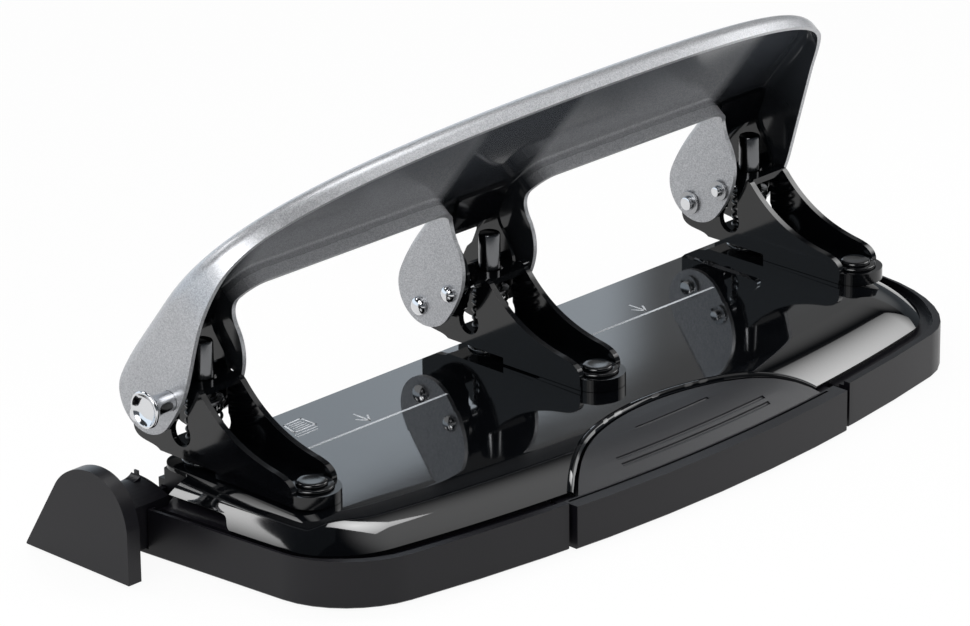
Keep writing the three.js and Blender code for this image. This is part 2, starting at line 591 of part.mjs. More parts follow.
const footWasher = (x) =>
  turned(
    [[RIVET_SHANK_RADIUS + 0.1, FOOT_TOP + 0.1], [WASHER_RADIUS, FOOT_TOP + 0.1],
      [WASHER_RADIUS, FOOT_TOP + WASHER_THICKNESS - 0.3],
      [WASHER_RADIUS - 0.3, FOOT_TOP + WASHER_THICKNESS],
      [RIVET_SHANK_RADIUS + 0.1, FOOT_TOP + WASHER_THICKNESS],
      [RIVET_SHANK_RADIUS + 0.1, FOOT_TOP + 0.1]],
    x, -FOOT_REACH, 12,
  );

function footRivet(x) {
  const seat = FOOT_TOP + WASHER_THICKNESS + 0.1;
  const top = seat + RIVET_HEAD_HEIGHT;
  return turned(
    [[0, BAY_TOP - 3], [RIVET_SHANK_RADIUS, BAY_TOP - 3], [RIVET_SHANK_RADIUS, seat],
      [RIVET_HEAD_RADIUS, seat], [RIVET_HEAD_RADIUS, top - 0.5],
      [RIVET_HEAD_RADIUS - 0.5, top], [0, top]],
    x, -FOOT_REACH, 12,
  );
}

// A punch: cupped cutting end, cross hole for the drive pin, chamfered top.
function punch(x) {
  const r = PUNCH_RADIUS;
  const body = turned(
    [[0, PUNCH_REST_BOTTOM + 0.9], [r - 1, PUNCH_REST_BOTTOM + 0.5], [r, PUNCH_REST_BOTTOM],
      [r, PUNCH_REST_TOP - 0.6], [r - 0.6, PUNCH_REST_TOP], [0, PUNCH_REST_TOP]],
    x, 0, 16,
  );
  const slack = 0.35;
  const height = DRIVE_PIN_RADIUS + slack;
  const reach = SWING + RUNNING_GAP;
  const slot = joined([
    rodX(height, x - 10, x + 10, -reach, DRIVE_REST_Z, 10),
    rodX(height, x - 10, x + 10, reach, DRIVE_REST_Z, 10),
    box(x - 10, x + 10, -reach, reach, DRIVE_REST_Z - height, DRIVE_REST_Z + height),
  ]);
  return body.subtract(slot);
}

// Push-on ring that the return spring lifts.
const punchClip = (x) =>
  turned(
    [[PUNCH_RADIUS + 0.1, CLIP_TOP - CLIP_THICKNESS], [CLIP_RADIUS, CLIP_TOP - CLIP_THICKNESS],
      [CLIP_RADIUS, CLIP_TOP], [PUNCH_RADIUS + 0.1, CLIP_TOP],
      [PUNCH_RADIUS + 0.1, CLIP_TOP - CLIP_THICKNESS]],
    x, 0, 16,
  );

class Helix extends THREE.Curve {
  constructor(radius, turns, low, high) {
    super();
    Object.assign(this, { radius, turns, low, high });
  }
  getPoint(t, target = new THREE.Vector3()) {
    const a = 2 * Math.PI * this.turns * t;
    const z = THREE.MathUtils.lerp(this.low, this.high, t);
    return target.set(this.radius * Math.cos(a), this.radius * Math.sin(a), z);
  }
}

function returnSpring(x) {
  const low = JAW_TOP + SPRING_WIRE_RADIUS + 0.1;
  const high = CLIP_TOP - CLIP_THICKNESS - SPRING_WIRE_RADIUS - 0.1;
  const wire = new THREE.Shape().absarc(0, 0, SPRING_WIRE_RADIUS, 0, 2 * Math.PI, false);
  const coil = new THREE.ExtrudeGeometry(wire, {
    steps: Math.round(SPRING_TURNS * 8),
    curveSegments: 3,
    extrudePath: new Helix(SPRING_MEAN_RADIUS, SPRING_TURNS, low, high),
  });
  return solid(coil.translate(x, 0, 0));
}

// ---------------------------------------------------------------- handle
// These pieces are laid out in the handle's own frame: x along the punches, y out
// through the main wall and z up along it, with the pivot axis at y = 0, z = 0.
const driveAngle = rad(180 - CRANK_REST_ANGLE - HANDLE_LEAN);
const DRIVE_N = CRANK_RADIUS * Math.cos(driveAngle);
const DRIVE_T = CRANK_RADIUS * Math.sin(driveAngle);
const LEG_BOTTOM = -14;

// Front view of the handle, moved inwards by inset: an arched plate, and the two open
// windows that leave it a beam on three legs.
function archedPlate(inset) {
  const e = END_FACE - inset;
  const crown = HANDLE_CROWN - inset;
  const pull = inset * 0.6;
  const rightPull = 0.918 * HANDLE_CROWN - pull;
  const leftPull = 0.868 * HANDLE_CROWN - pull;
  const shape = new THREE.Shape();
  shape.moveTo(-e, LEG_BOTTOM);
  shape.lineTo(e, LEG_BOTTOM);
  shape.lineTo(e, ARCH_RIGHT_START);
  shape.bezierCurveTo(e, rightPull, ARCH_RIGHT_SWEEP, crown, CROWN_X, crown);
  shape.bezierCurveTo(-ARCH_LEFT_SWEEP, crown, -e, leftPull, -e, ARCH_LEFT_START);
  return shape;
}

function leggedPlate(inset) {
  const foot = LEG_BOTTOM - inset * 4;
  const top = HANDLE_CROWN + 20;
  const sill = WINDOW_TOP + inset;
  const r = WINDOW_CORNER + inset;
  const shape = new THREE.Shape();
  shape.moveTo(-END_FACE - 20, foot);
  for (const [from, to] of [
    [-INNER_FACE - inset, -MIDDLE_CHEEK + inset],
    [MIDDLE_CHEEK_RIGHT - inset, INNER_FACE + inset],
  ]) {
    shape.lineTo(from, foot);
    shape.lineTo(from, sill - r);
    shape.absarc(from + r, sill - r, r, Math.PI, Math.PI / 2, true);
    shape.absarc(to - r, sill - r, r, Math.PI / 2, 0, true);
    shape.lineTo(to, foot);
  }
  shape.lineTo(END_FACE + 20, foot);
  shape.lineTo(END_FACE + 20, top);
  shape.lineTo(-END_FACE - 20, top);
  return shape;
}

// A front view carried back from the plane y = face, with its front edge rounded.
function carriedBack(shape, face, edge, bevelSegments) {
  const geometry = new THREE.ExtrudeGeometry(shape, {
    depth: 40,
    curveSegments: 7,
    bevelThickness: edge,
    bevelSize: edge,
    bevelOffset: -edge,
    bevelSegments,
  });
  const turn = new THREE.Matrix4().makeBasis(
    new THREE.Vector3(1, 0, 0),
    new THREE.Vector3(0, 0, 1),
    new THREE.Vector3(0, -1, 0),
  );
  return solid(geometry.applyMatrix4(turn).translate(0, face - edge, 0));
}

// The handle as a solid block: the rim is rounded more than the windows.
function handleBlock(inset, face) {
  const rim = carriedBack(archedPlate(inset), face, RIM_RADIUS - inset, 3);
  return rim.intersect(carriedBack(leggedPlate(inset), face, SILL_RADIUS - inset, 1));
}

// The round lower end that all cheeks share, from the main wall round to the free edge.
// The shape above it is in multiples of the radius that this returns.
function lobeStart(side) {
  const r = CHEEK_LOBE_RADIUS;
  side.moveTo(HANDLE_FACE + 2, 0.73 * r);
  side.absarc(0.135 * r, 0.5 * r, r, rad(13), rad(-190), true);
  return r;
}

// Side view of a cheek below the beam: a teardrop with its tip at the window flange.
function cheekLobe() {
  const side = new THREE.Shape();
  const r = lobeStart(side);
  side.bezierCurveTo(-r, 1.49 * r, -0.625 * r, 2.163 * r, 0.115 * r, 2.433 * r);
  side.quadraticCurveTo(FLANGE_EDGE - 0.6, 2.6 * r, FLANGE_EDGE, WINDOW_TOP - 4.3);
  side.lineTo(FLANGE_EDGE, HANDLE_CROWN + 20);
  side.lineTo(HANDLE_FACE + 2, HANDLE_CROWN + 20);
  return side;
}

// Side view of an end cheek: its free edge closes in on the main wall as it rises.
function endCheek() {
  const side = new THREE.Shape();
  const r = lobeStart(side);
  side.bezierCurveTo(-0.952 * r, 1.058 * r, -0.808 * r, 1.596 * r, -0.596 * r, 2.115 * r);
  side.lineTo(0.442 * r, 4.673 * r);
  side.quadraticCurveTo(FLANGE_EDGE, 5.29 * r, FLANGE_EDGE, 5.96 * r);
  side.lineTo(FLANGE_EDGE, HANDLE_CROWN + 20);
  side.lineTo(HANDLE_FACE + 2, HANDLE_CROWN + 20);
  return side;
}

function handleShell() {
  const shell = handleBlock(0, HANDLE_FACE).subtract(handleBlock(HANDLE_SHEET, WALL_INNER));
  const zone = INNER_FACE + HANDLE_SHEET + 1.5;
  const keep = joined([
    across(cheekLobe(), -FAR, FAR, 7),
    across(endCheek(), -FAR, -zone, 7),
    across(endCheek(), zone, FAR, 7),
  ]);
  const holes = [
    rodX(PIVOT_PIN_RADIUS + 0.1, -FAR, FAR, 0, 0, 12),
    rodX(DRIVE_PIN_RADIUS + 0.1, -HOLE_PITCH, FAR, DRIVE_N, DRIVE_T, 12),
    rodX(LOCK_STEM_RADIUS + 0.1, -FAR, -HOLE_PITCH, DRIVE_N, DRIVE_T, 16),
  ];
  return cutBy(shell.intersect(keep), holes);
}

// Black lever inside a leg: two side plates joined by a web that leaves the main wall
// at its top edge and runs down steeper than the wall.
function leverBracket({ x, side }) {
  const back = WALL_INNER - SEAT_GAP;
  const reach = (LEVER_TOP - LEVER_WEB_FOOT) * Math.tan(rad(LEVER_WEB_SLOPE));
  const edge = (LEVER_TOP - LEVER_PLATE_FOOT) * Math.tan(rad(LEVER_WEB_SLOPE));
  const r = LEVER_LOBE_RADIUS;
  const plate = new THREE.Shape();
  plate.absarc(0.065 * r, 0.52 * r, r, rad(20), rad(-185), true);
  plate.bezierCurveTo(-0.957 * r, 1.36 * r, -0.326 * r, 2.054 * r, 0.435 * r, 2.13 * r);
  plate.quadraticCurveTo(0.957 * r, 2.207 * r, back - 1.6, LEVER_TOP - 5);
  plate.lineTo(back - 1.2, LEVER_TOP);
  plate.lineTo(back, LEVER_TOP);
  plate.lineTo(back - edge, LEVER_PLATE_FOOT);
  const web = new THREE.Shape();
  web.moveTo(back, LEVER_TOP);
  web.lineTo(back - LEVER_SHEET, LEVER_TOP);
  web.lineTo(back - reach - LEVER_SHEET, LEVER_WEB_FOOT);
  web.lineTo(back - reach, LEVER_WEB_FOOT);
  const fit = handleBlock(HANDLE_SHEET + SEAT_GAP, back);
  const sides = across(plate, -LEVER_OUTER, LEVER_OUTER, 5);
  const inside = box(-LEVER_INNER, LEVER_INNER, -FAR, FAR, -FAR, FAR);
  const body = sides.subtract(inside).add(across(web, -LEVER_OUTER, LEVER_OUTER));
  const stem = LOCK_STEM_RADIUS + 0.1;
  const holes = [
    rodX(PIVOT_PIN_RADIUS + 0.1, -20, 20, 0, 0, 12),
    rodX(DRIVE_PIN_RADIUS + 0.1, -20, 20, DRIVE_N, DRIVE_T, 12),
    rodX(side === "left" ? stem : DRIVE_PIN_RADIUS + 0.1, -20, 0, DRIVE_N, DRIVE_T, 12),
  ];
  return cutBy(body.intersect(fit.translate([-x, 0, 0])), holes).translate([x, 0, 0]);
}

// Domed rivet end, plain pin end and flush inner end of the cross pins.
function domed(radius, head, at, direction) {
  return [
    [radius, at], [head, at], [head, at + direction * 0.7],
    [head * 0.72, at + direction * 1.6], [head * 0.3, at + direction * 2.1],
    [0, at + direction * 2.1],
  ];
}

function crossPin({ x, side, outer, inner }, radius, n, t) {
  const low = x + outer;
  const high = x + inner;
  const gap = 0.1;
  const near = side === "middle"
    ? domed(radius, radius * 0.55 + 1.6, low - gap, -1)
    : [[radius, low - 2.1], [radius - 0.3, low - 2.4], [0, low - 2.4]];
  const far = [[radius, high + gap], [radius + 1, high + gap], [radius + 1, high + 1], [0, high + 1]];
  return turnedX([...near.reverse(), ...far], n, t, 12);
}

// Spring clip in the groove at a pin's end, open on one side.
function springClip(x, radius, n, t) {
  const outer = radius + 1.5;
  const ring = turnedX(
    [[radius + 0.1, x - 0.9], [outer, x - 0.9], [outer, x - 0.1], [radius + 0.1, x - 0.1],
      [radius + 0.1, x - 0.9]],
    n, t, 16,
  );
  return ring.subtract(box(x - 2, x + 1, n - radius * 0.9, n + radius * 0.9, t - 8, t));
}

// Push-in lock: the left drive pin with a stem and a knob on its outer end.
function lockPin({ x, outer, inner }) {
  const cheek = x + outer;
  const stemEnd = x - BRACKET_HALF_WIDTH - LOCK_GAP;
  const face = cheek - LOCK_STAND_OFF;
  const s = LOCK_STEM_RADIUS;
  const k = LOCK_KNOB_RADIUS;
  return turnedX(
    [
      [0, face + 0.5], [k - 1.6, face + 0.3], [k - 0.7, face], [k, face + 0.7], [k, face + 1.9],
      [k - 0.6, face + 2.5], [s + 0.6, face + 3.4], [s, face + 5], [s, stemEnd],
      [DRIVE_PIN_RADIUS, stemEnd], [DRIVE_PIN_RADIUS, x + inner + 0.8], [0, x + inner + 0.8],
    ],
    DRIVE_N, DRIVE_T, 16,
  );
}

// ---------------------------------------------------------------- assembly
const root = new THREE.Group();
const put = (parent, name, body, look) => parent.add(meshOf(name, body, look));

put(root, "base_housing", baseHousing(), SATIN_PLASTIC);
put(root, "cover_plate", coverPlate(), BLACK_ENAMEL);
put(root, "chip_tray", chipTray(), SATIN_PLASTIC);
put(root, "paper_guide", paperGuide(), SATIN_PLASTIC);
put(root, "foot_strip_front", footStrip(), RUBBER);
put(root, "foot_pad_left", rearFoot(-REAR_FOOT_X), RUBBER);
put(root, "foot_pad_right", rearFoot(REAR_FOOT_X), RUBBER);
SCREWS.forEach(([x, y], i) => put(root, `base_screw_${i + 1}`, baseScrew(x, y), SPRING_STEEL));

const handle = new THREE.Group();
handle.position.set(0, PIVOT_Y, PIVOT_HEIGHT);
handle.rotation.x = rad(HANDLE_LEAN);
root.add(handle);
put(handle, "handle_shell", handleShell(), SPARKLE_PAINT);

for (const head of HEADS) {
  const { side, x } = head;
  put(root, `die_${side}`, die(x), TOOL_STEEL);
  put(root, `head_bracket_${side}`, headBracket(x), BLACK_ENAMEL);
  put(root, `foot_washer_${side}`, footWasher(x), BLACK_ENAMEL);
  put(root, `foot_rivet_${side}`, footRivet(x), BLACK_ENAMEL);
  put(root, `punch_${side}`, punch(x), CHROME);
  put(root, `punch_clip_${side}`, punchClip(x), SPRING_STEEL);
  put(root, `return_spring_${side}`, returnSpring(x), SPRING_STEEL);
  put(handle, `lever_bracket_${side}`, leverBracket(head), BLACK_ENAMEL);
  put(handle, `pivot_pin_${side}`, crossPin(head, PIVOT_PIN_RADIUS, 0, 0), CHROME);
  if (side === "left") put(handle, "lock_pin", lockPin(head), CHROME);
  else put(handle, `drive_pin_${side}`, crossPin(head, DRIVE_PIN_RADIUS, DRIVE_N, DRIVE_T), CHROME);
}
const right = HEADS[2];
const clipSeat = right.x + right.outer;
put(handle, "pivot_clip_right", springClip(clipSeat, PIVOT_PIN_RADIUS, 0, 0), SPRING_STEEL);
put(handle, "drive_clip_right", springClip(clipSeat, DRIVE_PIN_RADIUS, DRIVE_N, DRIVE_T), SPRING_STEEL);

export default root;
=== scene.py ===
"""Looks of a three-hole desk punch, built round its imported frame.

Sizes are metres, in the frame's own axes.
"""

import json
import math

import bmesh
import bpy
from bpy.props import FloatProperty, FloatVectorProperty, PointerProperty
from mathutils import Matrix, Vector
from mathutils.bvhtree import BVHTree

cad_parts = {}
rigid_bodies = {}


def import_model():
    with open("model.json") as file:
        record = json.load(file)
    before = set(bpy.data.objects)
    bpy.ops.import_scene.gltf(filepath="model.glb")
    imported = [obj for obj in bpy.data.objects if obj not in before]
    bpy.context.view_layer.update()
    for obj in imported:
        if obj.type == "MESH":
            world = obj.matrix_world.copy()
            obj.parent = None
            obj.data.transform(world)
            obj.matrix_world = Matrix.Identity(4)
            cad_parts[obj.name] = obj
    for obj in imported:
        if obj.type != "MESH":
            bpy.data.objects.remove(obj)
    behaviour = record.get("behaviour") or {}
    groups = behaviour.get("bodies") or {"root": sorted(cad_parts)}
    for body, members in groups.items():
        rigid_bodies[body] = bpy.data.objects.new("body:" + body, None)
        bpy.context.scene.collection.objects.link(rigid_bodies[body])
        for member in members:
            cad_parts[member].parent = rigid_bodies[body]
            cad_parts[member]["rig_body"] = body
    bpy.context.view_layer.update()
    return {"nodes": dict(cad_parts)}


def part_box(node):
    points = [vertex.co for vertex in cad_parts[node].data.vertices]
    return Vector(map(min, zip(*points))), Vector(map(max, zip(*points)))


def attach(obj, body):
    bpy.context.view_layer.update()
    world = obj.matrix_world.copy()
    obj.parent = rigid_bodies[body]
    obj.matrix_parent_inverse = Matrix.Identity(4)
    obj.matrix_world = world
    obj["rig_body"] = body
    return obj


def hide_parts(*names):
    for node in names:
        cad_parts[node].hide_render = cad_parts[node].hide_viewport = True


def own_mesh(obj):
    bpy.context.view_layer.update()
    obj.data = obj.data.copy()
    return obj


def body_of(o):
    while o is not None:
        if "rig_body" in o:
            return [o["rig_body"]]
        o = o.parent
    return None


bl_info = {
    "name": "Desk Punch",
    "version": (1, 0, 0),
    "blender": (4, 5, 0),
    "location": "3D View > Sidebar > Desk Punch",
    "description": "Finishes and studio for a three-hole desk punch built on its frame",
    "category": "Object",
}

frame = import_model()

MM = 0.001
MERGE = 1e-6
SIDES = ("left", "middle", "right")


def linear(hex_colour):
    """An sRGB hex colour as linear red, green and blue."""
    parts = [int(hex_colour[i : i + 2], 16) / 255 for i in (1, 3, 5)]
    return tuple(c / 12.92 if c <= 0.04045 else ((c + 0.055) / 1.055) ** 2.4 for c in parts)


# ------------------------------------------------------------------ settings
def colour(name, description, hex_colour):
    return FloatVectorProperty(
        name=name, description=description, subtype="COLOR", size=3, min=0, max=1,
        default=linear(hex_colour),
    )


def length(name, description, millimetres):
    return FloatProperty(
        name=name, description=description, unit="LENGTH", precision=5, default=millimetres * MM,
    )


def angle(name, description, degrees):
    return FloatProperty(
        name=name, description=description, subtype="ANGLE", default=math.radians(degrees),
    )


class PunchSizes(bpy.types.PropertyGroup):
    """Sizes that the frame's nodes don't give by themselves."""

    handle_lean: angle("Handle lean", "Main wall, from the vertical", 38)
    handle_face: length("Handle face", "Outer face of the wall, from the pivot", 14.0)
    handle_crown: length("Handle crown", "Pivot to the crown, along the wall", 79.5)
    handle_sheet: length("Handle sheet", "Thickness of the handle's sheet", 1.3)
    rim_radius: length("Rim radius", "Outer bend of the handle's rim", 4.4)
    sill_radius: length("Sill radius", "Outer bend round the windows", 2.1)
    window_top: length("Window top", "Pivot to the beam's lower edge", 34.8)
    window_corner: length("Window corner", "Radius of the windows' corners", 9.0)
    flange_depth: length("Flange depth", "Depth of the rim and of the sills", 6.8)
    lobe_radius: length("Lobe radius", "Round lower end of a cheek", 10.4)
    shoulder_width: length("Shoulder width", "Run of the plate's shoulder", 17.0)
    shoulder_drop: length("Shoulder drop", "Fall of the plate's shoulder", 6.5)
    plate_sink: length("Sunken front", "Depth of the plate's sunken front", 0.4)
    arch_half_width: length("Arch half width", "Thumb arch at its foot", 51.0)
    arch_crown: length("Arch crown", "Thumb arch, behind the punches", 58.5)
    arch_foot: length("Arch foot", "Foot of the arch, behind the punches", 80.0)
    edge_round: length("Eased edge", "Rounding of cut and moulded edges", 0.25)
    print_height: length("Ink height", "Printed lines above the plate", 0.02)


class PunchColours(bpy.types.PropertyGroup):
    """Base colours of the finishes."""

    silver: colour("Silver paint", "Flake paint on the handle", "#bfc0c3")
    # the darker flake tone is painted shade for flakes turned away from the light
    silver_shaded_flake: colour("Silver paint, dark flake", "Flakes turned away", "#94969a")
    enamel: colour("Black enamel", "Gloss enamel on plate and heads", "#060709")
    lining: colour("Lining", "Grey-black enamel inside the handle", "#1b1d20")
    moulding: colour("Moulding", "Satin base, tray front and guide", "#0d0c11")
    thumb: colour("Thumb rest", "Grained top of the tray", "#2c2d30")
    chrome: colour("Chrome", "Pins and lock", "#d6d7d9")
    steel: colour("Plated steel", "Clips, dies and screws", "#a5a6a8")
    ground: colour("Ground steel", "Punches", "#707173")
    # the springs are steel; their near-black tone is painted shade for the dark inside of the heads
    spring_painted_shade: colour("Blued steel", "Return springs", "#1b1c1f")
    ink: colour("Ink", "Printed lines on the plate", "#d9dde2")
    rubber: colour("Rubber", "Feet", "#17171a")
    floor: colour("Floor", "Pale studio floor", "#f2f2f2")


def sizes():
    return bpy.context.scene.punch_sizes


def colours():
    return bpy.context.scene.punch_colours


# ------------------------------------------------------------------ materials
def add(tree, kind, inputs=None, output=0, **settings):
    """Adds a node with its settings. Its inputs take a value or a socket to link;
    From and To take the two ends of a range. Gives the output asked for, or the node
    where output is None."""
    node = tree.nodes.new("ShaderNode" + kind)
    for key, value in settings.items():
        setattr(node, key, value)
    for key, value in (inputs or {}).items():
        if key in ("From", "To"):
            for end, bound in zip(("Min", "Max"), value):
                node.inputs[f"{key} {end}"].default_value = bound
        elif isinstance(value, bpy.types.NodeSocket):
            tree.links.new(value, node.inputs[key])
        else:
            node.inputs[key].default_value = value
    return node if output is None else node.outputs[output]


def opened(name):
    """A new material, its empty tree, and the place of a point on its piece."""
    material = bpy.data.materials.new(name)
    material.use_nodes = True
    tree = material.node_tree
    tree.nodes.clear()
    return material, tree, add(tree, "TexCoord", output="Object")


def surfaced(tree, inputs):
    """Ends the tree in a Principled surface with these inputs."""
    surface = add(tree, "BsdfPrincipled", inputs)
    add(tree, "OutputMaterial", {"Surface": surface}, None)


def shade(rgb, share=1.0):
    return (*[min(c * share, 1.0) for c in rgb], 1.0)


def gloss_enamel(name, rgb, peel, roughness, ior):
    """Stoved gloss enamel on steel: black depth under a clear surface, with the
    faint waviness, called orange peel, that spraying leaves."""
    material, tree, place = opened(name)
    waves = add(tree, "TexNoise", {"Vector": place, "Scale": 0.5 / (2.2 * MM), "Detail": 1.0})
    dust = add(tree, "TexNoise", {"Vector": place, "Scale": 0.5 / (6 * MM), "Detail": 3.0})
    tone = add(tree, "Mix", {0: dust, 6: shade(rgb, 0.9), 7: shade(rgb, 1.3)}, 2, data_type="RGBA")
    haze = add(tree, "MapRange", {"Value": dust, "To": (roughness * 0.8, roughness * 1.25)})
    relief = add(tree, "Bump", {"Height": waves, "Distance": peel, "Strength": 1.0})
    surfaced(tree, {"Base Color": tone, "Roughness": haze, "IOR": ior, "Normal": relief})
    return material


def sparkle_nodes(tree, place):
    """Tone and glint of the silver flakes; the darker flakes are painted shade, standing in for flakes
    turned away from the light. Real ones are 0.03 mm; they are drawn 0.25 mm across, the finest that
    still shows."""
    cells = add(
        tree, "TexVoronoi", {"Vector": place, "Scale": 1 / (0.25 * MM), "Randomness": 1.0}, "Color",
    )
    flake = add(tree, "SeparateColor", {"Color": cells}, "Red")
    tone = add(
        tree, "Mix", {0: flake, 6: shade(colours().silver_shaded_flake), 7: shade(colours().silver)}, 2,
        data_type="RGBA",
    )
    return flake, tone


def sparkle_paint(name):
    """Silver flake paint, sprayed and lacquered: a soft metallic sheen broken up by
    the glitter of single flakes."""
    material, tree, place = opened(name)
    flake, tone = sparkle_nodes(tree, place)
    glint = add(tree, "MapRange", {"Value": flake, "To": (0.28, 0.46)})
    relief = add(tree, "Bump", {"Height": flake, "Distance": 0.005 * MM, "Strength": 1.0})
    surfaced(
        tree,
        {
            "Base Color": tone, "Metallic": 0.5, "Roughness": glint, "Coat Weight": 0.25,
            "Coat Roughness": 0.12, "Normal": relief,
        },
    )
    return material


def handle_lining(name):
    """Grey-black enamel inside the handle, painted lighter towards the top of the wall as a painted
    reflection. The silver reaches round the sill's free edge and stops in a line of overspray; above it
    the wall takes a share of silver flake that thins upwards."""
    material, tree, place = opened(name)
    s = sizes()
    out = (0.0, math.cos(s.handle_lean), math.sin(s.handle_lean))
    up = (0.0, -math.sin(s.handle_lean), math.cos(s.handle_lean))
    depth = add(tree, "VectorMath", {0: place, 1: out}, "Value", operation="DOT_PRODUCT")
    rise = add(tree, "VectorMath", {0: place, 1: up}, "Value", operation="DOT_PRODUCT")
    blotch = add(tree, "TexNoise", {"Vector": place, "Scale": 0.5 / (2.5 * MM), "Detail": 3.0})
    wander = add(tree, "MapRange", {"Value": blotch, "To": (-0.5 * MM, 0.5 * MM)})
    reach = add(tree, "Math", {0: depth, 1: wander}, operation="ADD")
    line = Vector(out).dot(pivot()) + s.handle_face - 3.4 * MM
    overspray = add(
        tree, "MapRange",
        {"Value": reach, "From": (line - 0.2 * MM, line + 0.2 * MM), "To": (1.0, 0.0)},
    )
    across = add(tree, "SeparateXYZ", {"Vector": place}, "X")
    side = add(tree, "Math", {0: across}, operation="ABSOLUTE")
    after = add(tree, "MapRange", {"Value": side, "From": (15.0 * MM, 21.0 * MM)})
    before = add(tree, "MapRange", {"Value": side, "From": (90.0 * MM, 97.0 * MM), "To": (1.0, 0.0)})
    window = add(tree, "Math", {0: after, 1: before}, operation="MULTIPLY")
    silvered = add(tree, "Math", {0: overspray, 1: window}, operation="MULTIPLY")
    sill = Vector(up).dot(pivot()) + s.window_top
    # above the sill the wall takes half silver flake, thinning to a fifth 30 mm up
    flake_share_above_sill = add(
        tree, "MapRange", {"Value": rise, "From": (sill, sill + 30 * MM), "To": (0.5, 0.2)},
        interpolation_type="SMOOTHSTEP",
    )
    flake_share_in_windows = add(tree, "Math", {0: flake_share_above_sill, 1: window}, operation="MULTIPLY")
    share = add(tree, "Math", {0: silvered, 1: flake_share_in_windows}, operation="MAXIMUM")
    silver = sparkle_nodes(tree, place)[1]
    # painted reflection: the enamel is painted up to 4.5 times lighter towards the top of the wall, not a
    # change in the paint
    painted_reflection_rise = add(tree, "MapRange", {"Value": rise, "From": (sill - 4 * MM, sill + 24 * MM)})
    lining_with_painted_reflection = add(
        tree, "Mix", {0: painted_reflection_rise, 6: shade(colours().lining), 7: shade(colours().lining, 4.5)}, 2,
        data_type="RGBA",
    )
    tone = add(tree, "Mix", {0: share, 6: lining_with_painted_reflection, 7: silver}, 2, data_type="RGBA")
    metal = add(tree, "MapRange", {"Value": silvered, "To": (0.0, 0.5)})
    haze = add(tree, "MapRange", {"Value": share, "To": (0.1, 0.42)})
    relief = add(tree, "Bump", {"Height": blotch, "Distance": 0.012 * MM, "Strength": 1.0})
    surfaced(tree, {"Base Color": tone, "Metallic": metal, "Roughness": haze, "Normal": relief})
    return material


def moulded_abs(name, rgb, roughness, relief_depth):
    """ABS moulded against a spark-eroded tool: an even satin skin with a fine
    grain, drawn 0.3 mm across so that it shows."""
    material, tree, place = opened(name)
    fine = add(tree, "TexNoise", {"Vector": place, "Scale": 0.5 / (0.3 * MM), "Detail": 2.0})
    broad = add(tree, "TexNoise", {"Vector": place, "Scale": 0.5 / (22 * MM), "Detail": 2.0})
    tone = add(tree, "Mix", {0: broad, 6: shade(rgb, 0.92), 7: shade(rgb, 1.12)}, 2, data_type="RGBA")
    haze = add(tree, "MapRange", {"Value": fine, "To": (roughness * 0.9, roughness * 1.1)})
    relief = add(tree, "Bump", {"Height": fine, "Distance": relief_depth, "Strength": 1.0})
    surfaced(
        tree,
        {
            "Base Color": tone, "Roughness": haze, "IOR": 1.53, "Specular IOR Level": 0.28,
            "Normal": relief,
        },
    )
    return material


def polished_chrome(name):
    """Bright chromium plate: a mirror with faint turning lines round the axis."""
    material, tree, place = opened(name)
    drawn = add(tree, "Mapping", {"Vector": place, "Scale": (1.0, 1.0, 9.0)})
    lines = add(tree, "TexNoise", {"Vector": drawn, "Scale": 0.5 / (0.6 * MM)})
    haze = add(tree, "MapRange", {"Value": lines, "To": (0.05, 0.14)})
    relief = add(tree, "Bump", {"Height": lines, "Distance": 0.0005 * MM, "Strength": 1.0})
    surfaced(
        tree,
        {"Base Color": shade(colours().chrome), "Metallic": 1.0, "Roughness": haze, "Normal": relief},
    )
    return material


def zinc_plate(name, rgb, roughness):
    """Bright zinc, bare steel, or the springs' steel darkened as painted shade: greyer than chrome,
    softly mottled.
    """
    material, tree, place = opened(name)
    mottle = add(tree, "TexNoise", {"Vector": place, "Scale": 0.5 / (0.9 * MM), "Detail": 3.0})
    tone = add(tree, "Mix", {0: mottle, 6: shade(rgb, 0.8), 7: shade(rgb)}, 2, data_type="RGBA")
    haze = add(tree, "MapRange", {"Value": mottle, "To": (roughness, roughness + 0.12)})
    surfaced(tree, {"Base Color": tone, "Metallic": 1.0, "Roughness": haze})
    return material


def foot_rubber(name):
    """Moulded rubber: dull, with a dusty bloom."""
    material, tree, place = opened(name)
    bloom = add(tree, "TexNoise", {"Vector": place, "Scale": 0.5 / (1.2 * MM), "Detail": 4.0})
    tone = add(
        tree, "Mix", {0: bloom, 6: shade(colours().rubber), 7: shade(colours().rubber, 2.2)}, 2,
        data_type="RGBA",
    )
    haze = add(tree, "MapRange", {"Value": bloom, "To": (0.75, 0.95)})
    relief = add(tree, "Bump", {"Height": bloom, "Distance": 0.02 * MM, "Strength": 1.0})
    surfaced(tree, {"Base Color": tone, "Roughness": haze, "Normal": relief})
    return material


def screen_ink(name):
    """Screen-printed ink: flat, slightly broken in cover."""
    material, tree, place = opened(name)
    cover = add(tree, "TexNoise", {"Vector": place, "Scale": 0.5 / (0.5 * MM), "Detail": 2.0})
    tone = add(
        tree, "Mix", {0: cover, 6: shade(colours().ink, 0.8), 7: shade(colours().ink)}, 2,
        data_type="RGBA",
    )
    haze = add(tree, "MapRange", {"Value": cover, "To": (0.35, 0.5)})
    surfaced(tree, {"Base Color": tone, "Roughness": haze})
    return material


finishes = {}


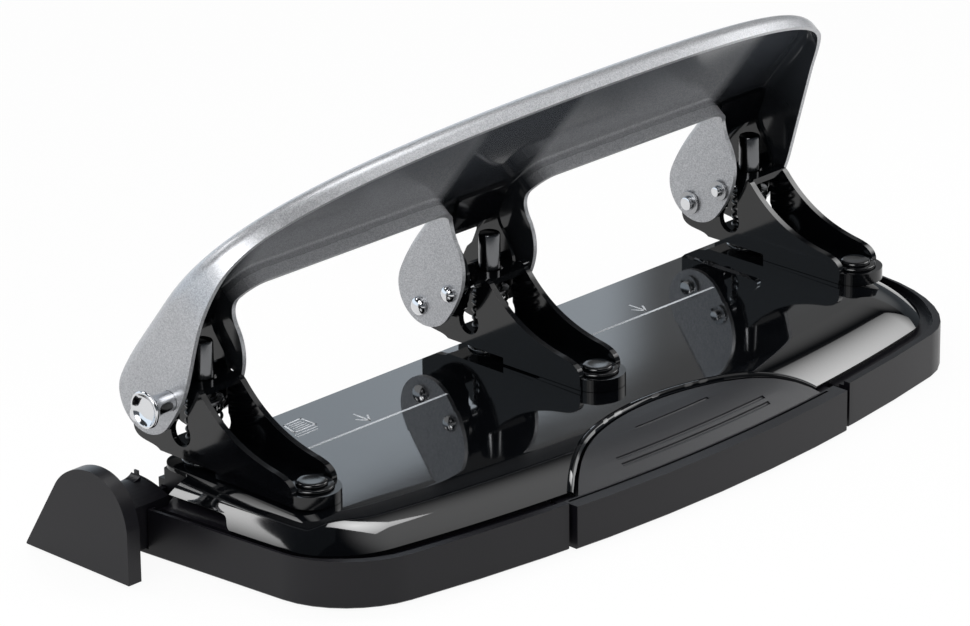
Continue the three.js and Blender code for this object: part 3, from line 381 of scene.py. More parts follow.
def finish(name):
    """The material of that name, made once."""
    if name not in finishes:
        c = colours()
        makers = {
            "plate_enamel": lambda n: gloss_enamel(n, c.enamel, 0.0006 * MM, 0.04, 1.68),
            "head_enamel": lambda n: gloss_enamel(n, c.enamel, 0.003 * MM, 0.09, 1.5),
            "sparkle_paint": sparkle_paint, "handle_lining": handle_lining,
            "moulded_abs": lambda n: moulded_abs(n, c.moulding, 0.36, 0.006 * MM),
            "grained_abs": lambda n: moulded_abs(n, c.thumb, 0.45, 0.012 * MM),
            "polished_chrome": polished_chrome,
            "zinc_plate": lambda n: zinc_plate(n, c.steel, 0.22),
            "ground_steel": lambda n: zinc_plate(n, c.ground, 0.1),
            # the springs' steel, darkened as painted shade
            "spring_steel_painted_shade": lambda n: zinc_plate(n, c.spring_painted_shade, 0.25), "foot_rubber": foot_rubber,
            "screen_ink": screen_ink,
        }
        finishes[name] = makers[name](name)
    return finishes[name]


# ------------------------------------------------------------------ mesh helpers
def pin_axis(node):
    """The point at X = 0 on the axis of a pin that lies along the row."""
    low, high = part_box(node)
    return Vector((0.0, (low.y + high.y) / 2, (low.z + high.z) / 2))


def pivot():
    """The point at X = 0 on the handle's pivot axis."""
    return pin_axis("pivot_pin_middle")


def head_x(side):
    """Where a punch stands along the row."""
    low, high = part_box(f"punch_{side}")
    return (low.x + high.x) / 2


def handle_place():
    """Carries the handle's own frame, x along the punches, y out through the main
    wall and z up along it, to the part's frame."""
    return Matrix.Translation(pivot()) @ Matrix.Rotation(sizes().handle_lean, 4, "X")


def piece_from(name, bm, materials, body):
    """A smooth-shaded piece made from bm, riding on body."""
    mesh = bpy.data.meshes.new(name)
    bm.to_mesh(mesh)
    bm.free()
    mesh.shade_smooth()
    for material in materials:
        mesh.materials.append(finish(material))
    piece = bpy.data.objects.new(name, mesh)
    bpy.context.scene.collection.objects.link(piece)
    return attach(piece, body)


def standing_for(node, bm, materials):
    """A piece made from bm that takes the place of a CAD node."""
    body = body_of(frame["nodes"][node])[0]
    piece = piece_from(node + "_finished", bm, materials, body)
    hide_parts(node)
    return piece


def baked(piece):
    """Applies the piece's modifiers to its mesh."""
    bpy.context.view_layer.update()
    graph = bpy.context.evaluated_depsgraph_get()
    result = bpy.data.meshes.new_from_object(piece.evaluated_get(graph))
    piece.modifiers.clear()
    old = piece.data
    piece.data = result
    bpy.data.meshes.remove(old)
    piece.data.name = piece.name
    return piece


def combined(piece, cutter_bm, operation="DIFFERENCE"):
    """Cuts the piece by the solids in cutter_bm, or keeps what lies in them."""
    mesh = bpy.data.meshes.new("cutter")
    bmesh.ops.recalc_face_normals(cutter_bm, faces=cutter_bm.faces)
    cutter_bm.to_mesh(mesh)
    cutter_bm.free()
    cutter = bpy.data.objects.new("cutter", mesh)
    bpy.context.scene.collection.objects.link(cutter)
    step = piece.modifiers.new("Cut", "BOOLEAN")
    step.operation = operation
    step.object = cutter
    step.solver = "EXACT"
    step.use_self = True
    baked(piece)
    bpy.data.objects.remove(cutter)
    bpy.data.meshes.remove(mesh)
    return piece


def creased(piece, angle=30):
    """Smooth shading that breaks where the surface turns by more than the angle."""
    piece.data.shade_smooth()
    piece.data.set_sharp_from_angle(angle=math.radians(angle))
    return piece


def evened(piece):
    """Evens the shading, so that flat faces look flat."""
    normals = piece.modifiers.new("Even shading", "WEIGHTED_NORMAL")
    normals.keep_sharp = True
    normals.weight = 80
    return piece


def eased(piece, width, segments=2, limit=40):
    """Rounds the piece's sharp edges and evens its shading."""
    bevel = piece.modifiers.new("Eased edges", "BEVEL")
    bevel.width = width
    bevel.segments = segments
    bevel.limit_method = "ANGLE"
    bevel.angle_limit = math.radians(limit)
    bevel.harden_normals = True
    bevel.miter_outer = "MITER_ARC"
    return evened(piece)


def merged(node):
    """The node's solid as clean faces: its triangles joined where they are flat."""
    bm = bmesh.new()
    bm.from_mesh(frame["nodes"][node].data)
    bmesh.ops.remove_doubles(bm, verts=bm.verts, dist=MERGE)
    bmesh.ops.dissolve_limit(bm, angle_limit=math.radians(0.5), verts=bm.verts, edges=bm.edges)
    return bm


def refined(node, material, edge=None):
    """A piece that stands for a CAD node: the same solid with eased edges."""
    width = sizes().edge_round if edge is None else edge
    return eased(standing_for(node, merged(node), [material]), width)


def loop_face(bm, points):
    """A face through the points, in order."""
    return bm.faces.new([bm.verts.new(p) for p in points])


def prism(bm, points, along):
    """A solid with the outline points, carried by the vector along."""
    made = bmesh.ops.extrude_face_region(bm, geom=[loop_face(bm, points)])
    top = [v for v in made["geom"] if isinstance(v, bmesh.types.BMVert)]
    bmesh.ops.translate(bm, verts=top, vec=along)
    return top


def upright(bm, points, low, high):
    """A prism on a plan outline of (x, y) points, between two heights."""
    return prism(bm, [Vector((p[0], p[1], low)) for p in points], Vector((0, 0, high - low)))


def sideways(bm, start, outline, width):
    """A prism on a side view of (y, z) points, from X = start over the width."""
    return prism(bm, [Vector((start, y, z)) for y, z in outline], Vector((width, 0, 0)))


def spun(bm, profile, centre, axis, steps=40):
    """A solid of revolution: profile is (along the axis, from the axis) pairs."""
    axis = Vector(axis)
    aside = axis.orthogonal().normalized()
    centre = Vector(centre)
    verts = [bm.verts.new(centre + axis * a + aside * r) for a, r in profile]
    edges = [bm.edges.new(pair) for pair in zip(verts, verts[1:])]
    bmesh.ops.spin(
        bm, geom=verts + edges, cent=centre, axis=axis, angle=math.tau, steps=steps, use_merge=True,
    )
    bmesh.ops.remove_doubles(bm, verts=bm.verts, dist=MERGE)
    bmesh.ops.recalc_face_normals(bm, faces=bm.faces)
    return bm


def rod(bm, centre, axis, radius, low, high, steps=40):
    spun(bm, [(low, 0), (low, radius), (high, radius), (high, 0)], centre, axis, steps)


def tube(path, radius, sides=4):
    """A round bar along the path, with closed ends."""
    data = bpy.data.curves.new("path", "CURVE")
    data.dimensions = "3D"
    data.bevel_depth = radius
    data.bevel_resolution = sides
    data.use_fill_caps = True
    spline = data.splines.new("POLY")
    spline.points.add(len(path) - 1)
    for point, place in zip(spline.points, path):
        point.co = (*place, 1)
    guide = bpy.data.objects.new("path", data)
    bpy.context.scene.collection.objects.link(guide)
    bpy.context.view_layer.update()
    graph = bpy.context.evaluated_depsgraph_get()
    mesh = bpy.data.meshes.new_from_object(guide.evaluated_get(graph))
    bm = bmesh.new()
    bm.from_mesh(mesh)
    bpy.data.objects.remove(guide)
    bpy.data.curves.remove(data)
    bpy.data.meshes.remove(mesh)
    bmesh.ops.remove_doubles(bm, verts=bm.verts, dist=MERGE)
    bmesh.ops.recalc_face_normals(bm, faces=bm.faces)
    return bm


def bezier(start, pull_a, pull_b, end, steps):
    """Points of a cubic curve after its start."""
    a, b, c, d = (Vector(p) for p in (start, pull_a, pull_b, end))
    points = []
    for i in range(1, steps + 1):
        t = i / steps
        s = 1 - t
        points.append(a * s**3 + b * 3 * s * s * t + c * 3 * s * t * t + d * t**3)
    return points


def arc(centre, radius, first, last, steps):
    """Points on a circle from the first to the last angle in degrees, both included."""
    points = []
    for i in range(steps + 1):
        a = math.radians(first + (last - first) * i / steps)
        points.append(Vector((centre[0] + radius * math.cos(a), centre[1] + radius * math.sin(a))))
    return points


# ------------------------------------------------------------------ handle
def handle_outline():
    """Front view of the handle as (x, t) points with the kind of edge after each:
    rim for the arch and the ends, sill for the windows, foot for the legs' ends."""
    s = sizes()
    low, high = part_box("handle_shell")
    crown = s.handle_crown
    foot = -14 * MM
    crown_x = 32 * MM
    r = s.window_corner
    inner = head_x("right") - 11.7 * MM
    points = []

    def run(kind, new):
        points.extend((Vector((p[0], p[1])), kind) for p in new)

    shoulder = (high.x, 50 * MM)
    run("rim", [(high.x, foot), shoulder])
    run("rim", bezier(shoulder, (high.x, 0.918 * crown), (88 * MM, crown), (crown_x, crown), 36))
    run("rim", bezier((crown_x, crown), (-70 * MM, crown), (low.x, 0.868 * crown), (low.x, 32 * MM), 48))
    run("foot", [(low.x, foot)])
    for start, end in ((-inner, -15.2 * MM), (14.4 * MM, inner)):
        run("sill", [(start, foot)])
        run("sill", arc((start + r, s.window_top - r), r, 180, 90, 12))
        run("sill", arc((end - r, s.window_top - r), r, 90, 0, 12))
        run("foot", [(end, foot)])
    return points


def cheek_shape(kind, reach):
    """Side view of a cheek as (n, t) points: the round lower end, then the free
    edge up to the flange it turns into."""
    s = sizes()
    r = s.lobe_radius
    flange = s.handle_face - s.flange_depth
    beyond = s.handle_face + 2 * MM
    face = s.handle_face + 0.05 * MM
    points = [(beyond, 24 * MM), (face, 24 * MM)]
    round_end = arc((0.135 * r, 0.5 * r), r, -14, -180, 44)
    flare = round_end[0] + Vector((0.242, 0.970)) * 5 * MM
    points += bezier(points[-1], (face, 15 * MM), flare, round_end[0], 12)
    points += round_end[1:]
    last = points[-1]
    if kind == "inner":
        tip = Vector((0.115 * r, 2.433 * r))
        end = Vector((flange, s.window_top - 4.3 * MM))
        pull = Vector((flange - 0.6 * MM, 2.6 * r))
        points += bezier(last, (-0.865 * r, 1.45 * r), (-0.6 * r, 2.12 * r), tip, 20)
        points += bezier(tip, tip.lerp(pull, 0.6), end.lerp(pull, 0.6), end, 10)
    else:
        turn = Vector((-0.596 * r, 2.115 * r))
        knee = Vector((0.442 * r, 4.673 * r))
        end = Vector((flange, 5.96 * r))
        pull = Vector((flange, 5.29 * r))
        before = turn - (knee - turn) * 0.22
        points += bezier(last, (-0.865 * r, 1.05 * r), before, turn, 14)
        points += bezier(turn, turn.lerp(knee, 0.3), turn.lerp(knee, 0.7), knee, 4)
        points += bezier(knee, knee.lerp(pull, 0.6), end.lerp(pull, 0.6), end, 12)
    points.append((points[-1].x, reach))
    points.append((beyond, reach))
    return points


def handle_sheet():
    """The handle before its cheeks are trimmed: a face turned back all round, with
    round bends."""
    s = sizes()
    outline = handle_outline()
    bm = bmesh.new()
    face = loop_face(bm, [Vector((p.x, s.handle_face, p.y)) for p, kind in outline])
    kinds = [kind for p, kind in outline]
    loops = list(face.loops)
    rim = [loops[i].edge for i in range(len(kinds)) if kinds[i] == "rim"]
    sill = [loops[i].edge for i in range(len(kinds)) if kinds[i] == "sill"]
    made = bmesh.ops.extrude_edge_only(bm, edges=rim + sill)
    walls = [v for v in made["geom"] if isinstance(v, bmesh.types.BMVert)]
    bmesh.ops.translate(bm, verts=walls, vec=(0, -26 * MM, 0))
    for edges, radius, segments in ((rim, s.rim_radius, 8), (sill, s.sill_radius, 5)):
        bmesh.ops.bevel(
            bm, geom=[e for e in edges if e.is_valid], offset=radius, offset_type="OFFSET",
            segments=segments, profile=0.5, affect="EDGES", material=-1, clamp_overlap=False,
        )
    bmesh.ops.remove_doubles(bm, verts=bm.verts, dist=MERGE)
    bmesh.ops.recalc_face_normals(bm, faces=bm.faces)
    return bm


def drive_axis():
    """The drive pins' place in the handle's frame, as (n, t)."""
    own = handle_place().inverted() @ pin_axis("drive_pin_middle")
    return own.y, own.z


class PUNCH_OT_handle(bpy.types.Operator):
    """Forms the arched handle, silver outside and dark inside"""

    bl_idname = "punch.handle"
    bl_label = "Handle"

    def execute(self, context):
        s = sizes()
        piece = standing_for("handle_shell", handle_sheet(), ["sparkle_paint", "handle_lining"])
        wall = piece.modifiers.new("Sheet", "SOLIDIFY")
        wall.thickness = s.handle_sheet
        wall.offset = -1
        wall.use_even_offset = True
        wall.material_offset = 1
        baked(piece)
        low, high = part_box("handle_shell")
        reach = s.handle_crown + 20 * MM
        zone = head_x("right") - 11.7 * MM + s.handle_sheet + 1.5 * MM
        keep = bmesh.new()
        for kind, start, end in (
            ("inner", -zone, zone),
            ("end", low.x - 10 * MM, -zone + 0.01 * MM),
            ("end", zone - 0.01 * MM, high.x + 10 * MM),
        ):
            sideways(keep, start, cheek_shape(kind, reach), end - start)
        combined(piece, keep, "INTERSECT")
        holes = bmesh.new()
        n, t = drive_axis()
        split = 0.5 * (low.x + head_x("middle"))
        rod(holes, (0, 0, 0), (1, 0, 0), 2.1 * MM, low.x - MM, high.x + MM)
        rod(holes, (0, n, t), (1, 0, 0), 1.6 * MM, split, high.x + MM)
        rod(holes, (0, n, t), (1, 0, 0), 2.8 * MM, low.x - MM, split - MM)
        combined(piece, holes)
        piece.data.transform(handle_place())
        piece.data.shade_smooth()
        eased(piece, 0.25 * MM, limit=50)
        return {"FINISHED"}


# ------------------------------------------------------------------ base
BASE_FRONT = 9.6 * MM
REAR_BOW = 524.96 * MM


def half_outline(front, closing, bend_start, corner, rear):
    """Half of the base's edge, from its front end round the corner to the middle of
    the bowed rear edge."""
    lean = closing / (BASE_FRONT + bend_start)
    run_on = 43 * MM
    start = Vector((front - closing, -bend_start))
    bend_end = front - corner
    height = REAR_BOW - rear
    end = Vector((bend_end, height - math.sqrt(REAR_BOW**2 - bend_end**2)))
    pull = 0.5 * (start.y - end.y)
    reach = 0.5 * (start.x - end.x)
    points = [Vector((front + lean * run_on, BASE_FRONT + run_on))]
    for back in range(45, -1, -5):
        points.append(start + Vector((lean, 1)) * back * MM)
    points += bezier(
        start, (start.x - lean * pull, start.y - pull),
        (end.x + reach, end.y + reach * bend_end / REAR_BOW), end, 26,
    )
    steps = 14
    for i in range(1, steps + 1):
        x = bend_end * (1 - i / steps)
        points.append(Vector((x, height - math.sqrt(REAR_BOW**2 - x * x))))
    return points


def base_outline(inset):
    """The base's edge seen from above, moved inwards, clockwise from the right front.
    Its ends run on past the front edge."""
    low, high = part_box("base_housing")
    right = half_outline(high.x, 3 * MM, 36 * MM, 28.6 * MM, -low.y)
    left = half_outline(-low.x, 5.2 * MM, 50 * MM, 27.8 * MM, -low.y)
    ring = right + [Vector((-p.x, p.y)) for p in reversed(left[:-1])]
    moved = []
    for i, p in enumerate(ring):
        before = ring[i - 1] if i else p
        after = ring[i + 1] if i + 1 < len(ring) else p
        way = (after - before).normalized()
        moved.append(p + Vector((way.y, -way.x)) * inset)
    return moved


def flat_outline(reach):
    """The edge of the plate's flat middle, in step with the points of base_outline."""
    low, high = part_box("base_housing")
    rear = -low.y - reach
    right = half_outline(high.x - reach, 3 * MM, 36 * MM, 17 * MM, rear)
    left = half_outline(-low.x - reach, 5.2 * MM, 50 * MM, 17 * MM, rear)
    return right + [Vector((-p.x, p.y)) for p in reversed(left[:-1])]


def domed_sheet(inset, strips=28):
    """The plate's surface: flat in the middle, with a rounded shoulder down to its
    edge."""
    s = sizes()
    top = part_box("cover_plate")[1].z
    radius = (s.shoulder_width**2 + s.shoulder_drop**2) / (2 * s.shoulder_drop)
    edge = base_outline(inset)
    middle = flat_outline(inset + s.shoulder_width)
    bm = bmesh.new()
    place = bm.verts.layers.int.new("place")
    face = loop_face(bm, [Vector((p.x, p.y, top - s.shoulder_drop)) for p in edge])
    for i, loop in enumerate(face.loops):
        loop.vert[place] = i
    made = bmesh.ops.extrude_edge_only(bm, edges=list(face.edges))
    skirt = [v for v in made["geom"] if isinstance(v, bmesh.types.BMVert)]
    bmesh.ops.translate(bm, verts=skirt, vec=(0, 0, -0.4 * MM))
    rim = list(face.edges)
    bmesh.ops.delete(bm, geom=[face], context="FACES_ONLY")
    for share in [(i / strips) ** 1.25 for i in range(1, strips + 1)] + [1.08]:
        run = s.shoulder_width * max(0.0, 1 - share)
        height = top - radius + math.sqrt(radius**2 - run**2)
        made = bmesh.ops.extrude_edge_only(bm, edges=rim)["geom"]
        rim = [e for e in made if isinstance(e, bmesh.types.BMEdge)]
        for vert in {v for e in rim for v in e.verts}:
            spot = edge[vert[place]].lerp(middle[vert[place]], share)
            vert.co = (spot.x, spot.y, height)
    bmesh.ops.contextual_create(bm, geom=rim)
    bmesh.ops.recalc_face_normals(bm, faces=bm.faces)
    lid = max(bm.faces, key=lambda f: f.calc_area())
    if lid.normal.z < 0:
        bmesh.ops.reverse_faces(bm, faces=bm.faces)
    return bm


def arch_centre():
    """Centre and radius of the thumb arch, seen from above."""
    s = sizes()
    rise = s.arch_foot - s.arch_crown
    radius = (s.arch_half_width**2 + rise**2) / (2 * rise)
    return Vector((0.0, -s.arch_crown - radius)), radius


def add_arch(bm, grow, low, high):
    """The thumb arch as an upright prism that runs out at the rear."""
    s = sizes()
    centre, radius = arch_centre()
    half = math.degrees(math.asin(s.arch_half_width / radius))
    points = arc(centre, radius + grow, 90 - half, 90 + half, 48)
    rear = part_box("base_housing")[0].y - 10 * MM
    points.append((-s.arch_half_width - grow - MM, rear))
    points.append((s.arch_half_width + grow + MM, rear))
    upright(bm, points, low, high)


class PUNCH_OT_cover_plate(bpy.types.Operator):
    """Presses the enamelled cover plate, with its rolled arch and sunken front"""

    bl_idname = "punch.cover_plate"
    bl_label = "Cover plate"

    def execute(self, context):
        s = sizes()
        box_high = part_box("cover_plate")[1]
        top = box_high.z
        bm = domed_sheet(3.8 * MM)
        bmesh.ops.bisect_plane(
            bm, geom=bm.verts[:] + bm.edges[:] + bm.faces[:], plane_co=(0, box_high.y, 0),
            plane_no=(0, 1, 0), clear_outer=True,
        )
        piece = standing_for("cover_plate", bm, ["plate_enamel"])
        wall = piece.modifiers.new("Sheet", "SOLIDIFY")
        wall.thickness = 1.0 * MM
        wall.offset = -1
        wall.use_even_offset = True
        baked(piece)
        bead = 1.5 * MM
        cuts = bmesh.new()
        add_arch(cuts, 0.3 * MM + bead, 0, 2 * top)
        combined(piece, cuts)
        cuts = bmesh.new()
        for side in SIDES:
            x = head_x(side)
            rivet_y = sum(c.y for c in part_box(f"foot_rivet_{side}")) / 2
            rod(cuts, (x, 0, 0), (0, 0, 1), 5.6 * MM, 0, 2 * top)
            rod(cuts, (x, rivet_y, 0), (0, 0, 1), 2.2 * MM, 0, 2 * top)
        end = -118.0 * MM  # clear of the guide's upturned end when it is pushed in
        front = box_high.y
        mouth = [(end - 22 * MM, -4.5 * MM), (end - 1.5 * MM, -4.5 * MM)]
        mouth += arc((end - 1.5 * MM, -3.0 * MM), 1.5 * MM, -90, 0, 6)
        mouth += arc((end + 5 * MM, front - 5 * MM), 5 * MM, 180, 90, 12)
        mouth += [(end + 5 * MM, front + 5 * MM), (end - 22 * MM, front + 5 * MM)]
        upright(cuts, mouth, 0, 2 * top)
        raised = [(0, 0), (0, 15.6 * MM), (-23 * MM, 15.4 * MM)]
        foot = (-31 * MM, 12.6 * MM)
        raised += bezier(raised[-1], (-27 * MM, 15.3 * MM), (-26 * MM, 12.9 * MM), foot, 10)
        raised.append((-31 * MM, 0))
        sideways(cuts, -150 * MM, raised, 35 * MM)
        combined(piece, cuts)
        cuts = bmesh.new()
        depth = s.plate_sink
        half = 87 * MM
        back = -26.5 * MM
        sunk = [(half, front + 5 * MM), (-half, front + 5 * MM)]
        corner = (-half + 5 * MM, back), (-half + 11 * MM, back)
        sunk += bezier((-half, -19 * MM), (-half, -24 * MM), *corner, 14)
        sunk += [Vector((-p.x, p.y)) for p in reversed(sunk[2:])]
        sunk.insert(2, (-half, -19 * MM))
        sunk.append((half, -19 * MM))
        upper = upright(cuts, sunk, top - depth, top + depth)
        bmesh.ops.scale(
            cuts, vec=(1.03, 1.045, 1), space=Matrix.Translation((0, -10 * MM, 0)).inverted(),
            verts=upper,
        )
        combined(piece, cuts)
        creased(piece, 15)  # keeps the sunken front's edge crisp
        pressed = bmesh.new()
        pressed.from_mesh(piece.data)
        surface = BVHTree.FromBMesh(pressed)
        pressed.free()
        centre, radius = arch_centre()
        half = math.degrees(math.asin(s.arch_half_width / radius)) - 0.6
        path = []
        for p in arc(centre, radius - 0.2 * MM + bead, 90 - half, 90 + half, 96):
            outward = (p - centre).normalized() * 0.7 * MM
            hit = surface.ray_cast(Vector((*(p + outward), 2 * top)), Vector((0, 0, -1)))
            if hit[0]:
                path.append(Vector((p.x, p.y, hit[0].z - bead)))
        rolled = piece_from(
            "plate_rolled_edge", tube(path, bead), ["plate_enamel"], "base"
        )
        creased(rolled)
        return {"FINISHED"}


def add_stroke(bm, start, end, width, level):
    """One printed stroke from start to end, a thin film on the plate."""
    start, end = Vector(start) * MM, Vector(end) * MM
    way = (end - start).normalized() * width / 2
    aside = Vector((-way.y, way.x))
    points = [start - way - aside, end + way - aside, end + way + aside, start - way + aside]
    upright(bm, points, level - 0.05 * MM, level + sizes().print_height)


class PUNCH_OT_print(bpy.types.Operator):
    """Prints the paper line, its arrows and a plain mark for a stack of sheets. The
    place of the lettering stays bare"""

    bl_idname = "punch.plate_print"
    bl_label = "Print on the plate"

    def execute(self, context):
        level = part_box("cover_plate")[1].z - sizes().plate_sink
        bm = bmesh.new()
        for start, end in ((-86, -33.5), (24.8, 74.7)):
            add_stroke(bm, (start, -15.2), (end, -15.6), 0.85 * MM, level)
        for x, tip in ((-60.4, -13.5), (48.6, -13.7)):
            add_stroke(bm, (x, tip + 6), (x, tip), 0.6 * MM, level)
            for aside in (-2.1, 2.1):
                add_stroke(bm, (x + aside, tip + 3.0), (x, tip), 0.6 * MM, level)
        corners = [(-80.0, -4.8), (-72.1, -4.7), (-72.1, 1.1), (-78.6, 0.8)]
        for i, corner in enumerate(corners):
            add_stroke(bm, corner, corners[i - 1], 0.6 * MM, level)
        for start, end, y in (
            (-77.9, -73.4, -0.4),
            (-78.0, -73.4, -1.5),
            (-78.2, -73.4, -2.6),
            (-78.3, -73.5, -3.7),
            (-81.0, -73.0, -6.2),
            (-81.4, -74.0, -7.5),
        ):
            add_stroke(bm, (start, y), (end, y + 0.1), 0.42 * MM, level)
        bmesh.ops.recalc_face_normals(bm, faces=bm.faces)
        piece_from("plate_print", bm, ["screen_ink"], "base")
        return {"FINISHED"}


def add_groove(bm, middle_y, half_length, level, radius=0.6 * MM):
    """A round-bottomed groove that keeps its distance from the bowed rear edge."""
    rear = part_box("base_housing")[0].y
    centre = Vector((0, rear + REAR_BOW, level))
    half = half_length / (centre.y - middle_y)
    bmesh.ops.create_circle(
        bm, cap_ends=True, segments=12, radius=radius,
        matrix=Matrix.Translation((0, middle_y, level))
        @ Matrix.Rotation(math.pi / 2, 4, "Y"),
    )
    fresh = [f for f in bm.faces if (f.calc_center_median() - Vector((0, middle_y, level))).length < 1e-5]
    geom = fresh + list(fresh[0].edges) + list(fresh[0].verts)
    bmesh.ops.rotate(bm, verts=list(fresh[0].verts), cent=centre, matrix=Matrix.Rotation(-half, 3, "Z"))
    bmesh.ops.spin(bm, geom=geom, cent=centre, axis=(0, 0, 1), angle=2 * half, steps=16, use_merge=False)


DECK = 13.8 * MM  # the base's top is above this height
DECK_DROP = 0.6 * MM
BAND = (11.4 * MM, 14.0 * MM)  # bottom and top of the groove round the base
TRAY_REACH = 56.18 * MM  # half length of the groove along the tray's front
SPLIT = (54.2 * MM, 56.9 * MM)  # the gap at the right end of the tray's front
BAND_FRONT = -74.5 * MM  # how deep that gap goes


def channel(bm, outer, inner, low, high, reach):
    """A slot that follows the base's edge between two insets, as far as reach on each
    side of the middle."""
    edges = []
    for inset in (outer, inner):
        ring = base_outline(inset)
        edges.append([p for p in ring if p.y < 0 and abs(p.x) < reach])
    upright(bm, edges[0] + edges[1][::-1], low, high)


class PUNCH_OT_base(bpy.types.Operator):
    """Makes the moulded base, the chip tray, the paper guide, the feet and the screws"""

    bl_idname = "punch.base"
    bl_label = "Base"

    def execute(self, context):
        bm = merged("base_housing")
        # the deck stays below the plate's shoulder, which is rounder than in the frame
        deck = [v for v in bm.verts if v.co.z > DECK]
        bmesh.ops.translate(bm, verts=deck, vec=(0, 0, -DECK_DROP))
        base = standing_for("base_housing", bm, ["moulded_abs"])
        gaps = bmesh.new()
        channel(gaps, 0.9 * MM, 4.6 * MM, *BAND, -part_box("base_housing")[0].x)
        near, far = SPLIT
        deep = BAND_FRONT
        split = [(near, -100 * MM), (far, -100 * MM), (far, deep), (near, deep)]
        upright(gaps, split, -5 * MM, 13.9 * MM)
        combined(base, gaps)
        eased(base, 0.35 * MM)
        bm = merged("chip_tray")
        surface = BVHTree.FromBMesh(bm)
        tray = standing_for("chip_tray", bm, ["moulded_abs", "grained_abs"])
        grooves = bmesh.new()
        for y, half in ((-68.3, 14.4), (-75.9, 29.4), (-77.9, 29.4)):
            start = Vector((half * 0.5 * MM, y * MM + 0.5 * MM, 0.1))
            hit = surface.ray_cast(start, Vector((0, 0, -1)))[0]
            add_groove(grooves, y * MM, half * MM, hit.z)
        channel(grooves, -0.5 * MM, 0.3 * MM, 11.5 * MM, 14.0 * MM, TRAY_REACH)
        combined(tray, grooves)
        centre, radius = arch_centre()
        for face in tray.data.polygons:
            middle = face.center
            inside = (middle.xy - centre).length < radius - 0.5 * MM
            if inside and face.normal.z > 0.6 and middle.z > 12.6 * MM:
                face.material_index = 1
        eased(tray, 0.25 * MM)
        self.guide()
        for node in ("foot_strip_front", "foot_pad_left", "foot_pad_right"):
            refined(node, "foot_rubber")
        for number in range(1, 5):
            refined(f"base_screw_{number}", "zinc_plate")
        return {"FINISHED"}

    def guide(self):
        """The paper guide: a round-topped end plate, an arm whose inner end turns up
        a little, and the guide's rail."""
        low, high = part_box("paper_guide")
        inner = low.x + 4.4 * MM
        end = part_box("base_housing")[0].x + 9.2 * MM
        foot = low.z + 1.8 * MM
        crown = high.z
        outline = [(-15.2 * MM, low.z), (24.2 * MM, low.z)]
        toe = (25.0 * MM, low.z)
        outline += bezier(outline[-1], toe, toe, (24.6 * MM, low.z + 0.8 * MM), 4)
        brow = (12.1 * MM, 21.8 * MM)
        outline.append(brow)
        rear = (-15.2 * MM, 15.4 * MM)
        top = crown + 2.45 * MM
        outline += bezier(brow, (5.0 * MM, top + 0.1 * MM), (-13.4 * MM, top + 0.1 * MM), rear, 40)
        bm = bmesh.new()
        sideways(bm, low.x, outline, inner - low.x)
        piece = standing_for("paper_guide", bm, ["moulded_abs"])
        parts = bmesh.new()
        front = 9.2 * MM
        arm = [(-3.6 * MM, foot), (front, foot), (front, 16.9 * MM)]
        arm += bezier(arm[-1], (8.6 * MM, 17.6 * MM), (2.0 * MM, 17.4 * MM), (-3.6 * MM, 14.8 * MM), 12)
        sideways(parts, inner - MM, arm, end - inner + MM)
        tip = end - 1.8 * MM
        root = tip - 5.2 * MM
        curl = [Vector((root, 15.0 * MM)), Vector((tip, 15.0 * MM)), Vector((tip, 18.4 * MM))]
        bend = (tip - 0.9 * MM, 17.3 * MM), (tip - 2.6 * MM, 17.1 * MM)
        curl += bezier(curl[-1], *bend, (root, 16.9 * MM), 10)
        prism(parts, [Vector((p.x, 5.2 * MM, p.y)) for p in curl], Vector((0, 3.6 * MM, 0)))
        combined(piece, parts, "UNION")
        rail = merged("paper_guide")
        bmesh.ops.bisect_plane(
            rail, geom=rail.verts[:] + rail.edges[:] + rail.faces[:],
            plane_co=(end - 0.5 * MM, 0, 0), plane_no=(-1, 0, 0), clear_outer=True,
        )
        bmesh.ops.holes_fill(rail, edges=[e for e in rail.edges if e.is_boundary])
        combined(piece, rail, "UNION")
        eased(piece, 0.8 * MM, segments=3, limit=35)


